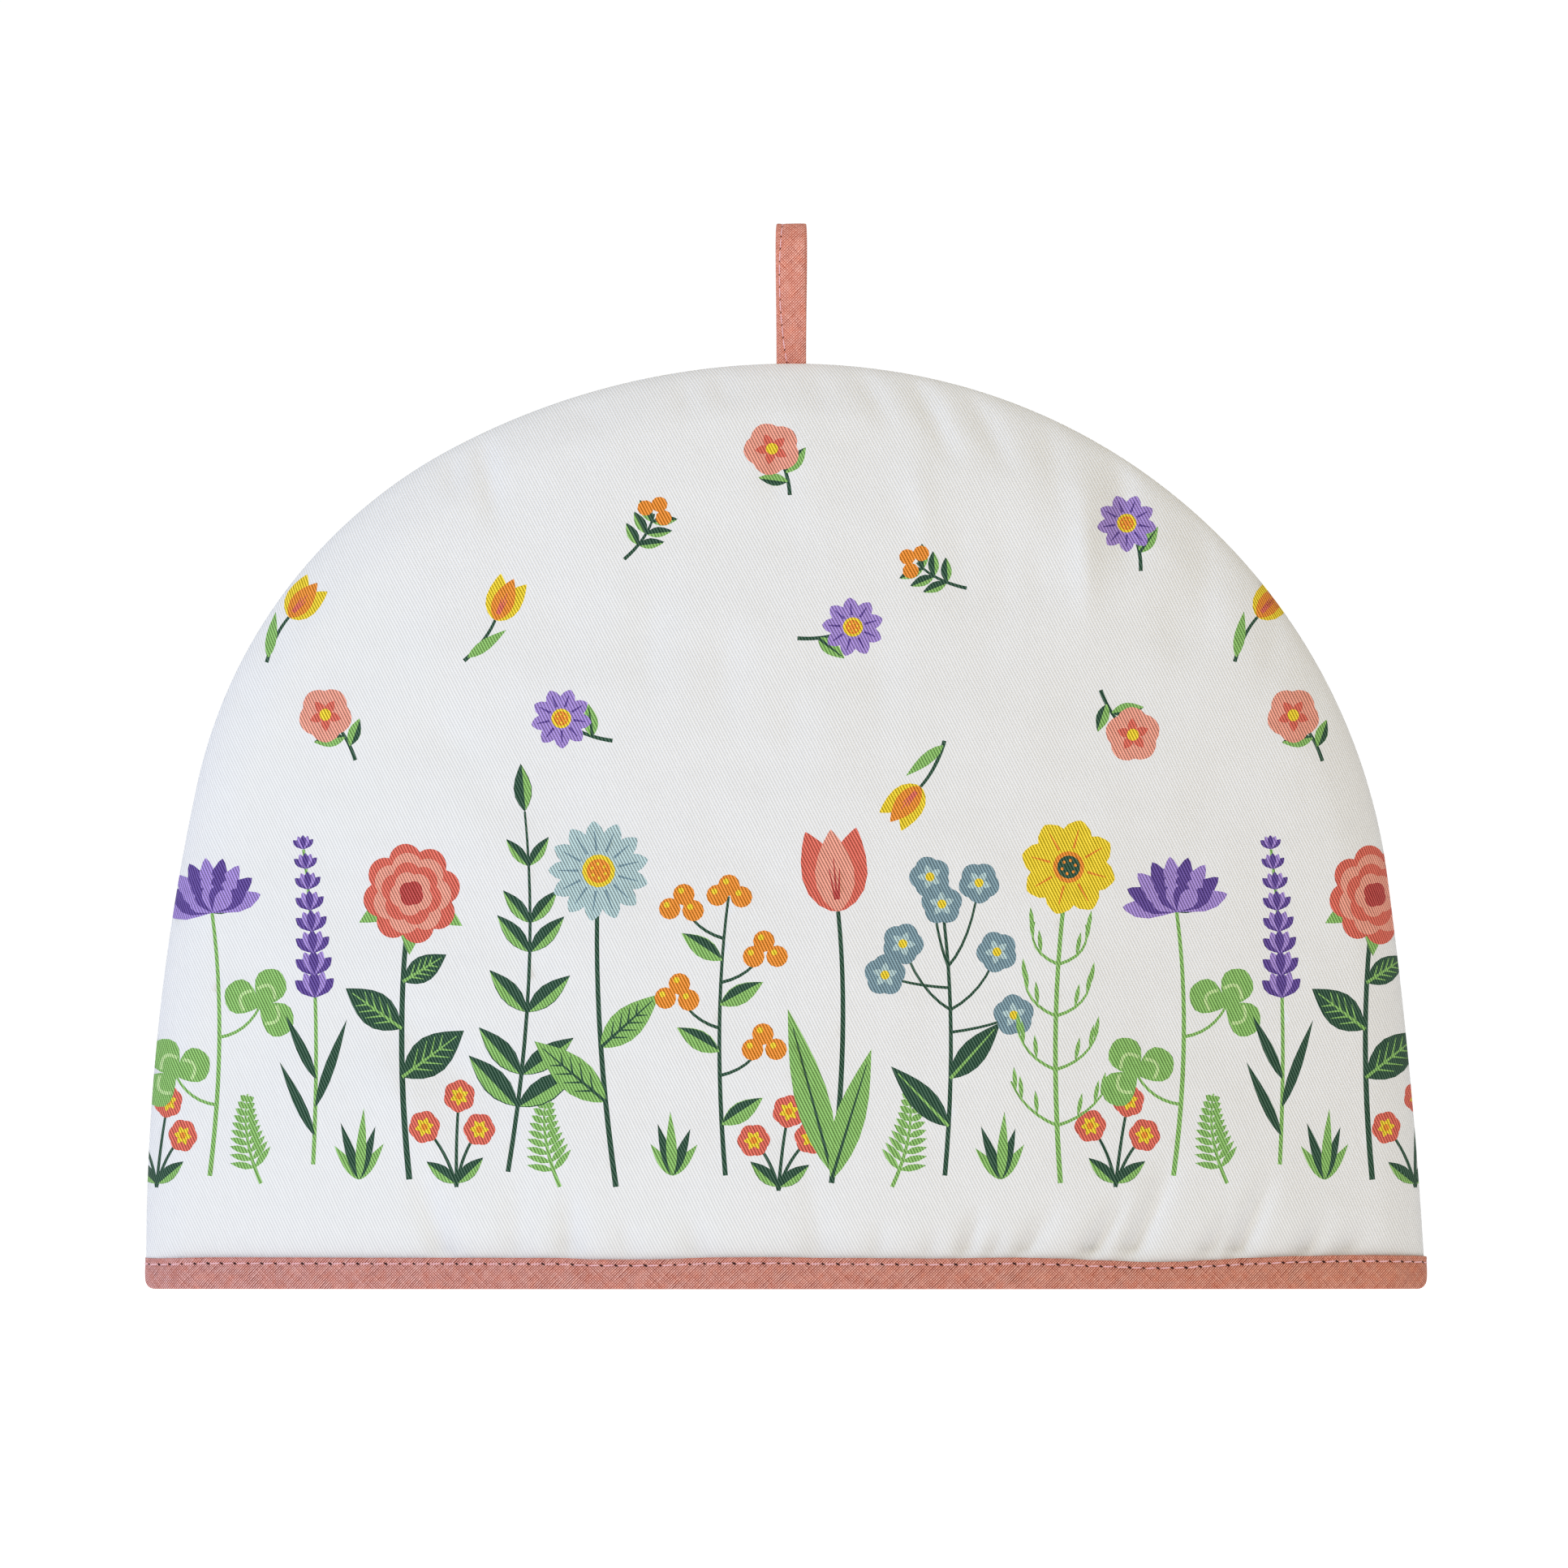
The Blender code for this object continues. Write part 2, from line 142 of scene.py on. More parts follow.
# %% [markdown]
# ## The padded walls
#
# Two flat domes sewn edge to edge and stood open make a lens in plan: widest at the middle of
# the hem, nothing at the seam. Padding rounds the turned seam into a soft nose with a shoulder
# behind it, the tape pinches the hem, and the cloth swells above it. A cloth simulation could
# find such a shape, but its creases would fall anywhere, so here the wall is a formula with a
# little unevenness from noise, and its creases are listed one by one.

# %% Sizes of the walls
OPEN_HALF_DEPTH = 42.7 * MM
PROFILE_POWER = 2.2
PLAN_POWER = 2.0
HEM_WALL = 3.0 * MM
PAD_WALL = 6.4 * MM
PAD_PROUD = 1.8 * MM
PAD_START = 9.5 * MM
PAD_RISE = 9.0 * MM
PUCKER_EASE = 1.8 * MM
SHOULDER, SHOULDER_RUN, SHOULDER_POWER = 3.0 * MM, 5.0 * MM, 1.35
NOSE_PEAK, NOSE_ROUND, NOSE_RUN = 1.6 * MM, 1.5 * MM, 1.25 * MM
GROOVE_RUN = 0.45 * MM
SEAM_GAP = 0.06 * MM
ALLOWANCE, ALLOWANCE_RUN = 2.5 * MM, 3.0 * MM
CORNER_ROUND = 2.7 * MM
CORNER_TIP = HALF_HEM + 0.4 * MM
UNEVEN_SIZE, UNEVEN_DEEP = 28 * MM, 1.0 * MM
FINER, FINER_DEEP = 2.3, 0.4
CREASE_POWER, GATHER_FADE = 1.6, 1.3
LEAST_REACH = 1e-6
BINDING_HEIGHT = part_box("hem_binding")[1].z
print("binding height in mm:", round(BINDING_HEIGHT / MM, 2))

# %% [markdown]
# Every crease is a row: where it starts and ends on the dome in millimetres, how wide it is and
# how deep. A depth below zero makes a ridge. An anchored crease is deepest where the seam or the
# tape gathers the cloth, and a loose one, marked False, fades at both ends. Easing a curved seam
# and stitching a tape both leave such gathers, mostly on the side that was sewn last.

# %% Creases of the front and the back
Pucker = namedtuple("Pucker", "x z to_x to_z half_width deep anchored", defaults=[True])
FRONT_PUCKERS = [Pucker(*row) for row in (
    (-145, 158, -141, 152, 3.0, 0.85), (-138, 172, -134, 167, 3.0, 1.05), (-130, 185, -125, 177, 3.0, 1.4),
    (-89, 221, -88, 208, 3.0, 1.9), (-81, 226, -76, 199, 3.2, 2.6), (-58, 236, -46, 227, 5.0, 1.55),
    (-28, 243, -25, 229, 3.0, 1.55), (-18, 244, -15, 233, 3.0, 1.7), (7, 246, 11, 230, 3.5, 1.55),
    (20, 244, 29, 226, 3.0, 2.55), (35, 241, 46, 217, 3.2, 3.7), (50, 237, 61, 214, 3.6, 3.1),
    (70, 228, 73, 205, 4.0, 1.75), (89, 219, 91, 188, 4.8, 4.4), (112, 201, 111, 165, 6.5, 3.3),
    (131, 180, 127, 155, 4.5, 2.15), (143, 160, 138, 142, 4.0, 1.55), (-2, 234, -3, 200, 4.0, 1.05, False),
    (34, 230, 37, 190, 4.0, -1.25, False), (79, 224, 80, 170, 3.6, -2.4, False),
    (66, 205, 68, 172, 5.0, 1.05, False), (46, 212, 47, 172, 5.0, 0.9, False),
    (58, 212, 58, 168, 5.0, 0.75, False), (102, 190, 106, 160, 6.0, 1.05, False),
    (-36, 196, -37, 146, 6.0, 0.9, False), (-15, 186, -17, 136, 6.0, 0.9, False),
    (3, 174, 0, 128, 6.0, 0.75, False), (24, 178, 26, 134, 6.0, 0.75, False),
    (-100, 158, -78, 134, 7.0, 1.05, False), (-62, 190, -54, 158, 9.0, 0.9, False),
    (-116, 82, -64, 42, 8.0, 2.2, False), (-116, 72, -84, 26, 8.0, -1.6, False),
    (-90, 9, -98, 34, 3.5, 2.6), (-71, 9, -71, 33, 4.0, 1.3), (-57, 9, -57, 29, 3.2, 2.45),
    (-41, 9, -44, 20, 3.0, 1.1), (-23, 9, -26, 22, 4.0, 1.5), (9, 9, 5, 40, 4.5, 1.5),
    (24, 9, 26, 20, 2.5, 1.1), (38, 9, 40, 18, 2.5, 1.1), (47, 9, 52, 23, 2.2, 2.5),
    (54, 9, 58, 17, 2.0, 1.9), (62, 9, 73, 24, 2.6, 2.3), (80, 9, 91, 27, 2.6, 3.8),
    (91, 9, 104, 38, 3.2, 3.8), (111, 9, 119, 22, 2.2, 2.3), (119, 9, 130, 34, 2.8, 3.8),
    (137, 9, 145, 23, 2.4, 2.3), (148, 9, 156, 19, 3.0, 1.7))]
BACK_PUCKERS = [Pucker(*row) for row in (
    (-118, 195, -110, 172, 5.0, 1.6), (-96, 216, -88, 193, 4.5, 2.6), (-61, 233, -55, 211, 4.0, 2.2),
    (-33, 241, -27, 224, 3.0, 1.6), (38, 240, 44, 220, 3.5, 2.45), (60, 232, 61, 215, 3.5, 1.45),
    (86, 219, 80, 195, 4.5, 2.75), (122, 190, 112, 166, 5.0, 2.1), (-40, 215, -36, 178, 4.5, -1.1, False),
    (-10, 200, -12, 150, 6.0, 0.75, False), (26, 190, 28, 140, 6.0, 0.75, False),
    (70, 90, 112, 52, 8.0, 1.9, False), (76, 76, 100, 32, 8.0, -1.25, False),
    (-146, 9, -140, 22, 2.5, 1.4), (-132, 9, -124, 26, 3.0, 2.0), (-112, 9, -101, 32, 3.0, 2.6),
    (-94, 9, -84, 23, 2.5, 2.0), (-72, 9, -66, 21, 2.5, 1.4), (-30, 9, -27, 27, 4.0, 1.55),
    (12, 9, 9, 22, 3.0, 1.25), (48, 9, 42, 27, 3.5, 2.25), (84, 9, 77, 23, 2.5, 1.55),
    (104, 9, 95, 31, 3.0, 2.65))]
print("creases:", len(FRONT_PUCKERS), "front,", len(BACK_PUCKERS), "back")


# %% Depth of the walls
def lens_depth(x, z):
    """Half of the room between the panels."""
    left, right = half_width(-1, z), half_width(1, z)
    share = (x - (right - left) / 2) / max((left + right) / 2, LEAST_REACH)
    profile = 1 - (max(z, 0.0) / DOME_HEIGHT) ** PROFILE_POWER
    return OPEN_HALF_DEPTH * max(profile, 0.0) * max(1 - abs(share) ** PLAN_POWER, 0.0)


def quarter_round(share):
    return sqrt(1 - (1 - min(share, 1.0)) ** 2)


def pad_share(z):
    return 1 - exp(-max(z - PAD_START, 0.0) / PAD_RISE)


def pucker_depth(x, z, puckers):
    total = 0.0
    for row in puckers:
        width = row.half_width * MM
        from_x, from_z = x - row.x * MM, z - row.z * MM
        run_x, run_z = (row.to_x - row.x) * MM, (row.to_z - row.z) * MM
        length = hypot(run_x, run_z)
        if abs(from_x) + abs(from_z) > 2 * length + 4 * width:
            continue
        along = (from_x * run_x + from_z * run_z) / length ** 2
        if along >= 1 or (along <= 0 and not row.anchored):
            continue
        across = (from_x * run_z - from_z * run_x) / length
        fade = (1 - max(along, 0.0) ** 2) ** GATHER_FADE if row.anchored else sin(pi * along) ** 2
        before = exp(-(min(along, 0.0) * length / (2 * width)) ** 2)
        total += row.deep * MM * fade * before * exp(-abs(across / width) ** CREASE_POWER)
    return total


def corner_lift(x, z):
    """How far the round bottom corners at the side seams lift the cloth."""
    into = abs(x) - (CORNER_TIP - CORNER_ROUND)
    if into <= 0 or z >= BINDING_HEIGHT:
        return 0.0
    rise = CORNER_ROUND - sqrt(max(CORNER_ROUND ** 2 - into ** 2, 0.0))
    return rise * (1 - z / BINDING_HEIGHT) ** 2


def outer_depth(x, z, side=0, puckers=()):
    """How far the outside of a panel stands from the seam plane."""
    lens = lens_depth(x, z)
    clear = 1 - exp(-lens / ALLOWANCE_RUN)
    shoulder = SHOULDER * (1 - max(1 - lens / SHOULDER_RUN, 0.0) ** SHOULDER_POWER)
    nose = NOSE_PEAK + NOSE_ROUND * quarter_round(lens / NOSE_RUN)
    free_of_tape = min(max(z - BINDING_HEIGHT, 0.0) / PUCKER_EASE, 1.0)
    relief = PAD_PROUD * pad_share(z) - free_of_tape * pucker_depth(x, z, puckers)
    if side:
        spot = Vector((x, z, side)) / UNEVEN_SIZE
        relief += UNEVEN_DEEP * pad_share(z) * (noise.noise(spot) + FINER_DEEP * noise.noise(spot * FINER))
    return nose + lens + shoulder + clear * relief


def inner_depth(x, z):
    """How far the inside of a panel stands from the seam plane."""
    lens = lens_depth(x, z)
    wall = HEM_WALL + (PAD_WALL - HEM_WALL) * pad_share(z)
    slope = PLAN_POWER * OPEN_HALF_DEPTH / HALF_HEM * abs(x / HALF_HEM) ** (PLAN_POWER - 1)
    free = outer_depth(x, z) - wall * sqrt(1 + slope * slope) - ALLOWANCE * exp(-lens / ALLOWANCE_RUN)
    groove = (NOSE_PEAK - SEAM_GAP / 2) * (1 - quarter_round(lens / GROOVE_RUN))
    return max(SEAM_GAP / 2 + groove, free)


print("half depth at the hem in mm:", round(outer_depth(0, PANEL_BOTTOM) / MM, 1))

# %% [markdown]
# ## Camera
#
# The picture is square on and from far away, because the hem runs dead straight across it and
# the loop shows no perspective. A long lens set low, level with the hem, gives that view. Its
# frame is worked out from the picture's own scale: how many pixels the 340 mm hem takes.

# %% Place the camera
PICTURE = 1932
HEM_LEFT_PX, HEM_RIGHT_PX, HEM_BOTTOM_PX = 181.0, 1756.0, 1588.0
SENSOR = 36.0
CAMERA_AWAY, CAMERA_HEIGHT, FAR_CLIP = 6.0, 12 * MM, 50.0


def into_scene(name, data):
    item = bpy.data.objects.new(name, data)
    bpy.context.scene.collection.objects.link(item)
    return item


def look_at(item, place, target):
    item.location = place
    item.rotation_euler = (target - item.location).to_track_quat('-Z', 'Y').to_euler()


pixel = 2 * HALF_HEM / (HEM_RIGHT_PX - HEM_LEFT_PX)
aim = Vector(((PICTURE / 2 - (HEM_LEFT_PX + HEM_RIGHT_PX) / 2) * pixel, 0.0,
              (HEM_BOTTOM_PX - PICTURE / 2) * pixel))
camera_data = bpy.data.cameras.new("front_camera")
camera = into_scene("front_camera", camera_data)
look_at(camera, (aim.x, -CAMERA_AWAY, CAMERA_HEIGHT), aim)
camera_data.sensor_width = SENSOR
camera_data.lens = SENSOR * (aim - camera.location).length / (PICTURE * pixel)
camera_data.clip_end = FAR_CLIP
bpy.context.scene.camera = camera
print("mm in a pixel:", round(pixel / MM, 4), "lens:", round(camera_data.lens))

# %% [markdown]
# ## The cloth lies flat when it is printed
#
# A print is made on flat cloth, so its motifs are drawn in flat measures: across the cloth and
# up the cloth. Where the wall turns away from the camera, more cloth fits in the same width,
# which squeezes the motifs at the sides as in the real thing. The same flat measures become the
# UV map that the weave reads, so that the twill follows the cloth too.

# %% From the front view to flat cloth, and back
SIDE_POWER = 2 * PLAN_POWER - 1
SIDE_TAKE_UP = (PLAN_POWER * OPEN_HALF_DEPTH / HALF_HEM) ** 2 / (2 * SIDE_POWER)
CROWN_TAKE_UP = 6.0 * MM
PASSES = 5


def flat_from_front(x, z):
    level = min(max(z, 0.0) / DOME_HEIGHT, 1.0)
    profile = 1 - level ** PROFILE_POWER
    across = x + SIDE_TAKE_UP * (1 + profile) / 2 * x * abs(x / HALF_HEM) ** (SIDE_POWER - 1)
    return across, z + CROWN_TAKE_UP * level ** (2 * PROFILE_POWER - 1)


def front_from_flat(across, up):
    x, z = across, up
    for _ in range(PASSES):
        guess_across, guess_up = flat_from_front(x, z)
        x += across - guess_across
        z += up - guess_up
    return x, z


print("flat width of the hem in mm:", round(2 * flat_from_front(HALF_HEM, 0)[0] / MM, 1))

# %% [markdown]
# Beside the seam the cloth rolls over the padding towards the middle, straight away from the
# camera. The front view hides that strip, so its length is added up in small steps from the
# depth of the wall, and the flat position is pushed outwards by it.

# %% Cloth hidden in the roll of the seam
ROLL_STEPS = [step * MM for step in (0.0, 0.06, 0.15, 0.3, 0.55, 0.9, 1.4, 2.2, 3.4, 5.0)]
ROLL_SPACING = 1.5 * MM


def rolled_lengths(station):
    """Extra cloth between the seam and each roll step, added up from the innermost one."""
    extra = [0.0]
    for inner_step, outer_step in zip(ROLL_STEPS[:0:-1], ROLL_STEPS[-2::-1]):
        ends = [station.point + station.inward * step for step in (inner_step, outer_step)]
        rise = outer_depth(*ends[0]) - outer_depth(*ends[1])
        extra.append(extra[-1] + hypot(inner_step - outer_step, rise) - (inner_step - outer_step))
    return extra[::-1]


def tree_of(points):
    """A search tree that finds the nearest of some flat points."""
    tree = KDTree(max(len(points), 1))
    for index, point in enumerate(points):
        tree.insert((*point, 0.0), index)
    tree.balance()
    return tree


SEAM = seam_stations(ROLL_SPACING)
SEAM_ROLLS = [rolled_lengths(station) for station in SEAM]
SEAM_TREE = tree_of([station.point for station in SEAM])


def cloth_place(x, z, side):
    """Flat position of the cloth, across and up, as its own face shows it."""
    across, up = flat_from_front(x, z)
    _, index, away = SEAM_TREE.find((x, z, 0.0))
    if away < ROLL_STEPS[-1]:
        step = next(step for step, high in enumerate(ROLL_STEPS[1:]) if away <= high)
        low, high = SEAM_ROLLS[index][step:step + 2]
        extra = low + (high - low) * ((away - ROLL_STEPS[step]) / (ROLL_STEPS[step + 1] - ROLL_STEPS[step]))
        across -= SEAM[index].inward.x * extra
        up -= SEAM[index].inward.y * extra
    return -side * across, up


print("cloth rolled into the seam in mm:", [round(SEAM_ROLLS[index][0] / MM, 1) for index in (20, 120)])

# %% [markdown]
# ## Shapes for the print
#
# The printed flowers are flat areas of ink, so each is a closed outline with one ink, laid one
# over another like cut paper. A few helpers draw them all: a blade for leaves and petals, a disc,
# a scalloped disc, and a ribbon along a curve for stems and veins. A picture could be mapped on
# instead, but outlines stay crisp at any distance and no picture file is needed.


# %% Outline helpers, in millimetres with up as the second number
def turned(outline, lean, at=(0.0, 0.0), flip=False):
    """Perhaps mirror, turn clockwise and move an outline."""
    turn, side = radians(lean), -1 if flip else 1
    return [(at[0] + (side * x * cos(turn) + z * sin(turn)),
             at[1] + (z * cos(turn) - side * x * sin(turn))) for x, z in outline]


def blade(length, width, belly=0.45, blunt=1.0, steps=8):
    """A leaf or petal that points up from (0, 0), widest at belly; below 1, blunt rounds its ends."""
    power = log(0.5) / log(belly)
    shares = [(1 - cos(pi * step / steps)) / 2 for step in range(1, steps)]
    right = [(width / 2 * sin(pi * share ** power) ** blunt, length * share) for share in shares]
    return [(0.0, 0.0)] + right + [(0.0, length)] + [(-x, z) for x, z in reversed(right)]


def disc(radius, steps=14):
    angles = [2 * pi * step / steps for step in range(steps)]
    return [(radius * cos(angle), radius * sin(angle)) for angle in angles]


def scallop(radius, lobes, deep, steps=8):
    """A disc with a rim of round lobes."""
    rim = []
    for step in range(lobes * steps):
        angle = 2 * pi * step / (lobes * steps)
        size = radius * (1 - deep + deep * abs(sin(lobes * angle / 2)) ** 0.8)
        rim.append((size * cos(angle), size * sin(angle)))
    return rim


def bent(start, middle, end, steps=10):
    """Points on a quadratic curve."""
    return [tuple((1 - t) ** 2 * a + 2 * t * (1 - t) * b + t * t * c for a, b, c in zip(start, middle, end))
            for t in (step / steps for step in range(steps + 1))]


def around(line, index):
    """The points before and after one of a line's points."""
    return line[max(index - 1, 0)], line[min(index + 1, len(line) - 1)]


def ribbon(line, wide, narrow):
    """A strip along a line, from its wide end to its narrow one."""
    right, left = [], []
    for index, (x, z) in enumerate(line):
        before, after = around(line, index)
        run = Vector((after[0] - before[0], after[1] - before[1])).normalized()
        half = (wide + (narrow - wide) * index / (len(line) - 1)) / 2
        right.append((x + run.y * half, z - run.x * half))
        left.append((x - run.y * half, z + run.x * half))
    return right + left[::-1]


def heading_at(line, index):
    """Clockwise angle from straight up of a line at one of its points, in degrees."""
    before, after = around(line, index)
    return degrees(Vector((0, 1)).angle_signed(Vector(after) - Vector(before)))


def set_at(parts, lean, at, flip=False):
    """A whole drawing, turned and moved."""
    return [(ink, turned(outline, lean, at, flip)) for ink, outline in parts]


def fan(ink, outline, leans, at=(0.0, 0.0)):
    """One outline in one ink, once for each lean."""
    return [(ink, turned(outline, lean, at)) for lean in leans]


def all_round(count):
    return [360 * step / count for step in range(count)]


print("a petal has", len(blade(10, 4)), "points")

# %% [markdown]
# ## Leaves and flower heads
#
# Each of these returns a list of inks and outlines in the order they are laid down. They are
# ordinary garden motifs in plain flat drawing: blades, tulips, daisies, clover, lavender and so
# on. The inks are the print's own: two greens, warm yellows and corals, violet and pale blue.


# %% Leaves
def leaf(length, width, ink, vein, pairs=4, belly=0.42):
    """A blade with a midrib and side veins."""
    midrib = [(0, 0), (0, length * 0.5), (0, length * 0.88)]
    parts = [(ink, blade(length, width, belly, steps=10)), (vein, ribbon(midrib, 0.9, 0.25))]
    for pair in range(pairs):
        share = 0.18 + 0.56 * pair / pairs
        reach = width * 0.36 * sin(pi * (share + 0.12) ** 0.8)
        for side in (-1, 1):
            tip = (side * reach, length * share + reach * 1.15)
            parts.append((vein, ribbon([(0, length * share), tip], 0.6, 0.2)))
    return parts


def halved_leaf(length, width, ink, light):
    """A blade with one half in a lighter ink."""
    whole = blade(length, width)
    half = [(x * 0.82 + 0.25, z * 0.94 + length * 0.03) for x, z in whole if x >= 0]
    return [(ink, whole), (light, half)]


print("a leaf has", len(leaf(20, 9, "leaf", "pine")), "areas")


# %% Flower heads, each centred on (0, 0)
def daisy_head(petals, length, width, ink, line, eye, ring):
    leans = all_round(petals)
    stroke = ribbon([(0, length * 0.4), (0, length * 0.8)], 0.7, 0.25)
    parts = fan(ink, blade(length, width, 0.66, 0.75), leans) + fan(line, stroke, leans)
    parts += [(ring, disc(length * 0.33)), (eye, disc(length * 0.24))]
    for lean in range(0, 360, 60):
        parts += fan(ring, disc(length * 0.035, 6), [lean], turned([(0, length * 0.14)], lean)[0])
    return parts


def round_head(radius, petals, ink, inner, eye):
    """A small blossom of round petals."""
    parts = fan(ink, blade(radius, radius * 1.05, 0.6, 0.6), all_round(petals))
    parts += fan(inner, blade(radius * 0.6, radius * 0.34, 0.5), all_round(petals))
    return parts + [(eye, disc(radius * 0.22, 10))]


def rosette_head(radius, inks):
    """Scalloped rounds inside each other, each turned a little from the last."""
    parts = []
    for ring, ink in enumerate(inks):
        size = radius * (1 - ring / (len(inks) + 0.4))
        parts += fan(ink, scallop(size, 8 - ring, 0.16), [17 * ring])
    return parts


def tulip_head(height, ink, pale, line):
    parts = fan(ink, blade(height, height * 0.5, 0.4, 0.85), (-17, 17))
    parts.append((pale, blade(height * 0.96, height * 0.46, 0.42, 0.85)))
    for lean in (-7, 0, 7):
        stroke = ribbon([(0, height * 0.14), (0, height * (0.62 - abs(lean) / 60))], 0.75, 0.2)
        parts += fan(line, stroke, [lean])
    return parts


def clover_head(radius, ink, pale):
    """Tiers of short petals that fan upwards."""
    parts = []
    for tier, (count, reach, spread) in enumerate([(9, 1.0, 78), (7, 0.78, 66), (5, 0.54, 50)]):
        petal = blade(radius * reach, radius * 0.34, 0.62, 0.8, steps=6)
        for index in range(count):
            lean = -spread + 2 * spread * index / (count - 1)
            parts += fan(ink if (index + tier) % 2 else pale, petal, [lean])
    return parts


def bunch(middle, shifts, radius=2.9, steps=12, glint=0.85):
    """Round berries, each with a small glint."""
    parts = []
    for x, z in shifts:
        at = (middle[0] + x, middle[1] + z)
        parts.append(("orange", turned(disc(radius, steps), 0, at)))
        if glint:
            parts.append(("yellow", turned(disc(glint, 7), 0, (at[0] - 0.8, at[1] + 1.0))))
    return parts


print("a daisy head has", len(daisy_head(13, 10, 4, "sky", "slate", "orange", "yellow")), "areas")

# %% [markdown]
# ## Whole stems
#
# A stem grows from (0, 0) and its head sits at the top of its own curve, turned the way the curve
# ends. That way a stem can be bent, made taller or flipped and stays joined to its flower.

# %% Stems for the border
STEM_STEPS = 12


def stem_of(height, bow, ink, wide, narrow):
    """The curve of a stem, and its strip of ink."""
    line = bent((0, 0), (bow, height * 0.55), (bow * 0.35, height), STEM_STEPS)
    return line, [(ink, ribbon(line, wide, narrow))]


def twig_from(root, middle, tip):
    spots = [(root[0] + x, root[1] + z) for x, z in (middle, tip)]
    return bent(root, *spots, 6)


def crowned(head, line):
    return set_at(head, heading_at(line, STEM_STEPS), line[-1])


def tulip(height, bow):
    line, parts = stem_of(height, bow, "pine", 1.5, 1.1)
    parts += set_at(leaf(height * 0.62, 9, "leaf", "pine", 0), -15, (0, 3))
    parts += set_at(leaf(height * 0.5, 8, "leaf", "pine", 0), 17, (0, 1))
    return parts + crowned(tulip_head(23, "coral", "rose", "red"), line)


def laurel(height, bow):
    line, parts = stem_of(height, bow, "pine", 1.3, 0.6)
    for pair in range(6):
        index, size = 2 + int(pair * 1.7), 19 - 1.9 * pair
        for side in (-1, 1):
            lean = heading_at(line, index) + side * (52 - 3 * pair)
            parts += set_at(halved_leaf(size, size * 0.36, "pine", "leaf"), lean, line[index], side < 0)
    return parts + crowned(halved_leaf(13, 5, "pine", "leaf"), line)


def daisy(height, bow):
    line, parts = stem_of(height, bow, "pine", 1.5, 1.1)
    parts += set_at(leaf(25, 9.5, "leaf", "pine"), 48, line[3])
    parts += set_at(leaf(21, 8.5, "leaf", "pine"), -50, line[5])
    return parts + set_at(daisy_head(13, 13.5, 5.4, "sky", "slate", "orange", "yellow"), 4, line[-1])


def lavender(height, bow):
    line, parts = stem_of(height, bow, "leaf", 1.2, 0.8)
    for lean, index, size in ((-24, 1, 22), (24, 2, 25), (-24, 3, 19)):
        parts += fan("pine", blade(size, 3.0, 0.4), [lean], line[index])
    for tier in range(8):
        index, size = 6 + tier * 0.86, 7.4 - 0.5 * tier
        low, high = [Vector(line[min(int(index) + step, STEM_STEPS)]) for step in (0, 1)]
        at = tuple(low.lerp(high, index % 1))
        for ink, leans in (("violet", (-48, 48)), ("lilac", (-22, 22)), ("violet", (0,))):
            parts += fan(ink, blade(size, size * 0.44, 0.6, 0.85, 6), leans, at)
    return parts


def rose(height, bow):
    line, parts = stem_of(height, bow, "pine", 1.7, 1.3)
    for side, index, size in ((1, 4, 21), (-1, 6, 19), (1, 8, 14)):
        lean = heading_at(line, index) + side * 56
        parts += set_at(leaf(size, size * 0.5, "pine", "leaf", 4, 0.45), lean, line[index])
    parts += fan("leaf", blade(16.5, 6, 0.5), (-120, 180, 120), line[-1])
    return parts + set_at(rosette_head(13.5, ["coral", "rose", "coral", "rose", "red"]), 10, line[-1])


print("a tulip has", len(tulip(90, 6)), "areas of ink")


# %% More stems for the border
def berries(height, bow):
    line, parts = stem_of(height, bow, "pine", 1.3, 0.7)
    for index, side in ((4, 1), (6, -1), (8, 1), (10, -1)):
        twig = twig_from(line[index], (side * 8, 2), (side * 11, 9))
        parts.append(("pine", ribbon(twig, 0.9, 0.6)))
        parts += bunch(twig[-1], ((0, 2.4), (side * 3.6, -1.5), (-side * 2.6, -1.8)))
    for index, side in ((2, -1), (5, 1), (7, -1), (9, 1)):
        lean = heading_at(line, index) - side * 60
        parts += set_at(halved_leaf(13, 5.4, "leaf", "pine"), lean, line[index], side < 0)
    return parts + bunch(line[-1], ((0, 3), (3.4, 0), (-3.0, 0.2)))


def cosmos(height, bow):
    line, parts = stem_of(height, bow, "leaf", 1.4, 1.1)
    for index in (2, 4, 6, 8):
        for side in (-1, 1):
            twig = twig_from(line[index], (side * 9, 3), (side * (15 - index), 11))
            parts.append(("leaf", ribbon(twig, 0.9, 0.5)))
            for at in (2, 4, 5):
                parts += fan("leaf", blade(6.5, 1.3, 0.5, 1.0, 5), [side * 8], twig[at])
    return parts + set_at(daisy_head(8, 13, 8.6, "yellow", "orange", "pine", "orange"), 12, line[-1])


def forget_me_not(height, bow):
    line, parts = stem_of(height, bow, "pine", 1.3, 0.8)
    parts += set_at(leaf(22, 7, "pine", "leaf", 0), -42, line[2])
    parts += set_at(leaf(20, 7, "pine", "leaf", 0), 44, line[4])
    blossom = round_head(5.6, 5, "slate", "sky", "yellow")
    for index, reach, rise in ((7, 13, 15), (7, -12, 18), (9, 9, 22), (9, -4, 24), (6, 17, 4), (8, -17, 4)):
        twig = twig_from(line[index], (reach * 0.7, rise * 0.3), (reach, rise))
        parts.append(("pine", ribbon(twig, 0.8, 0.6)))
        parts += set_at(blossom, reach * 4, twig[-1])
    return parts + set_at(blossom, 0, line[-1])


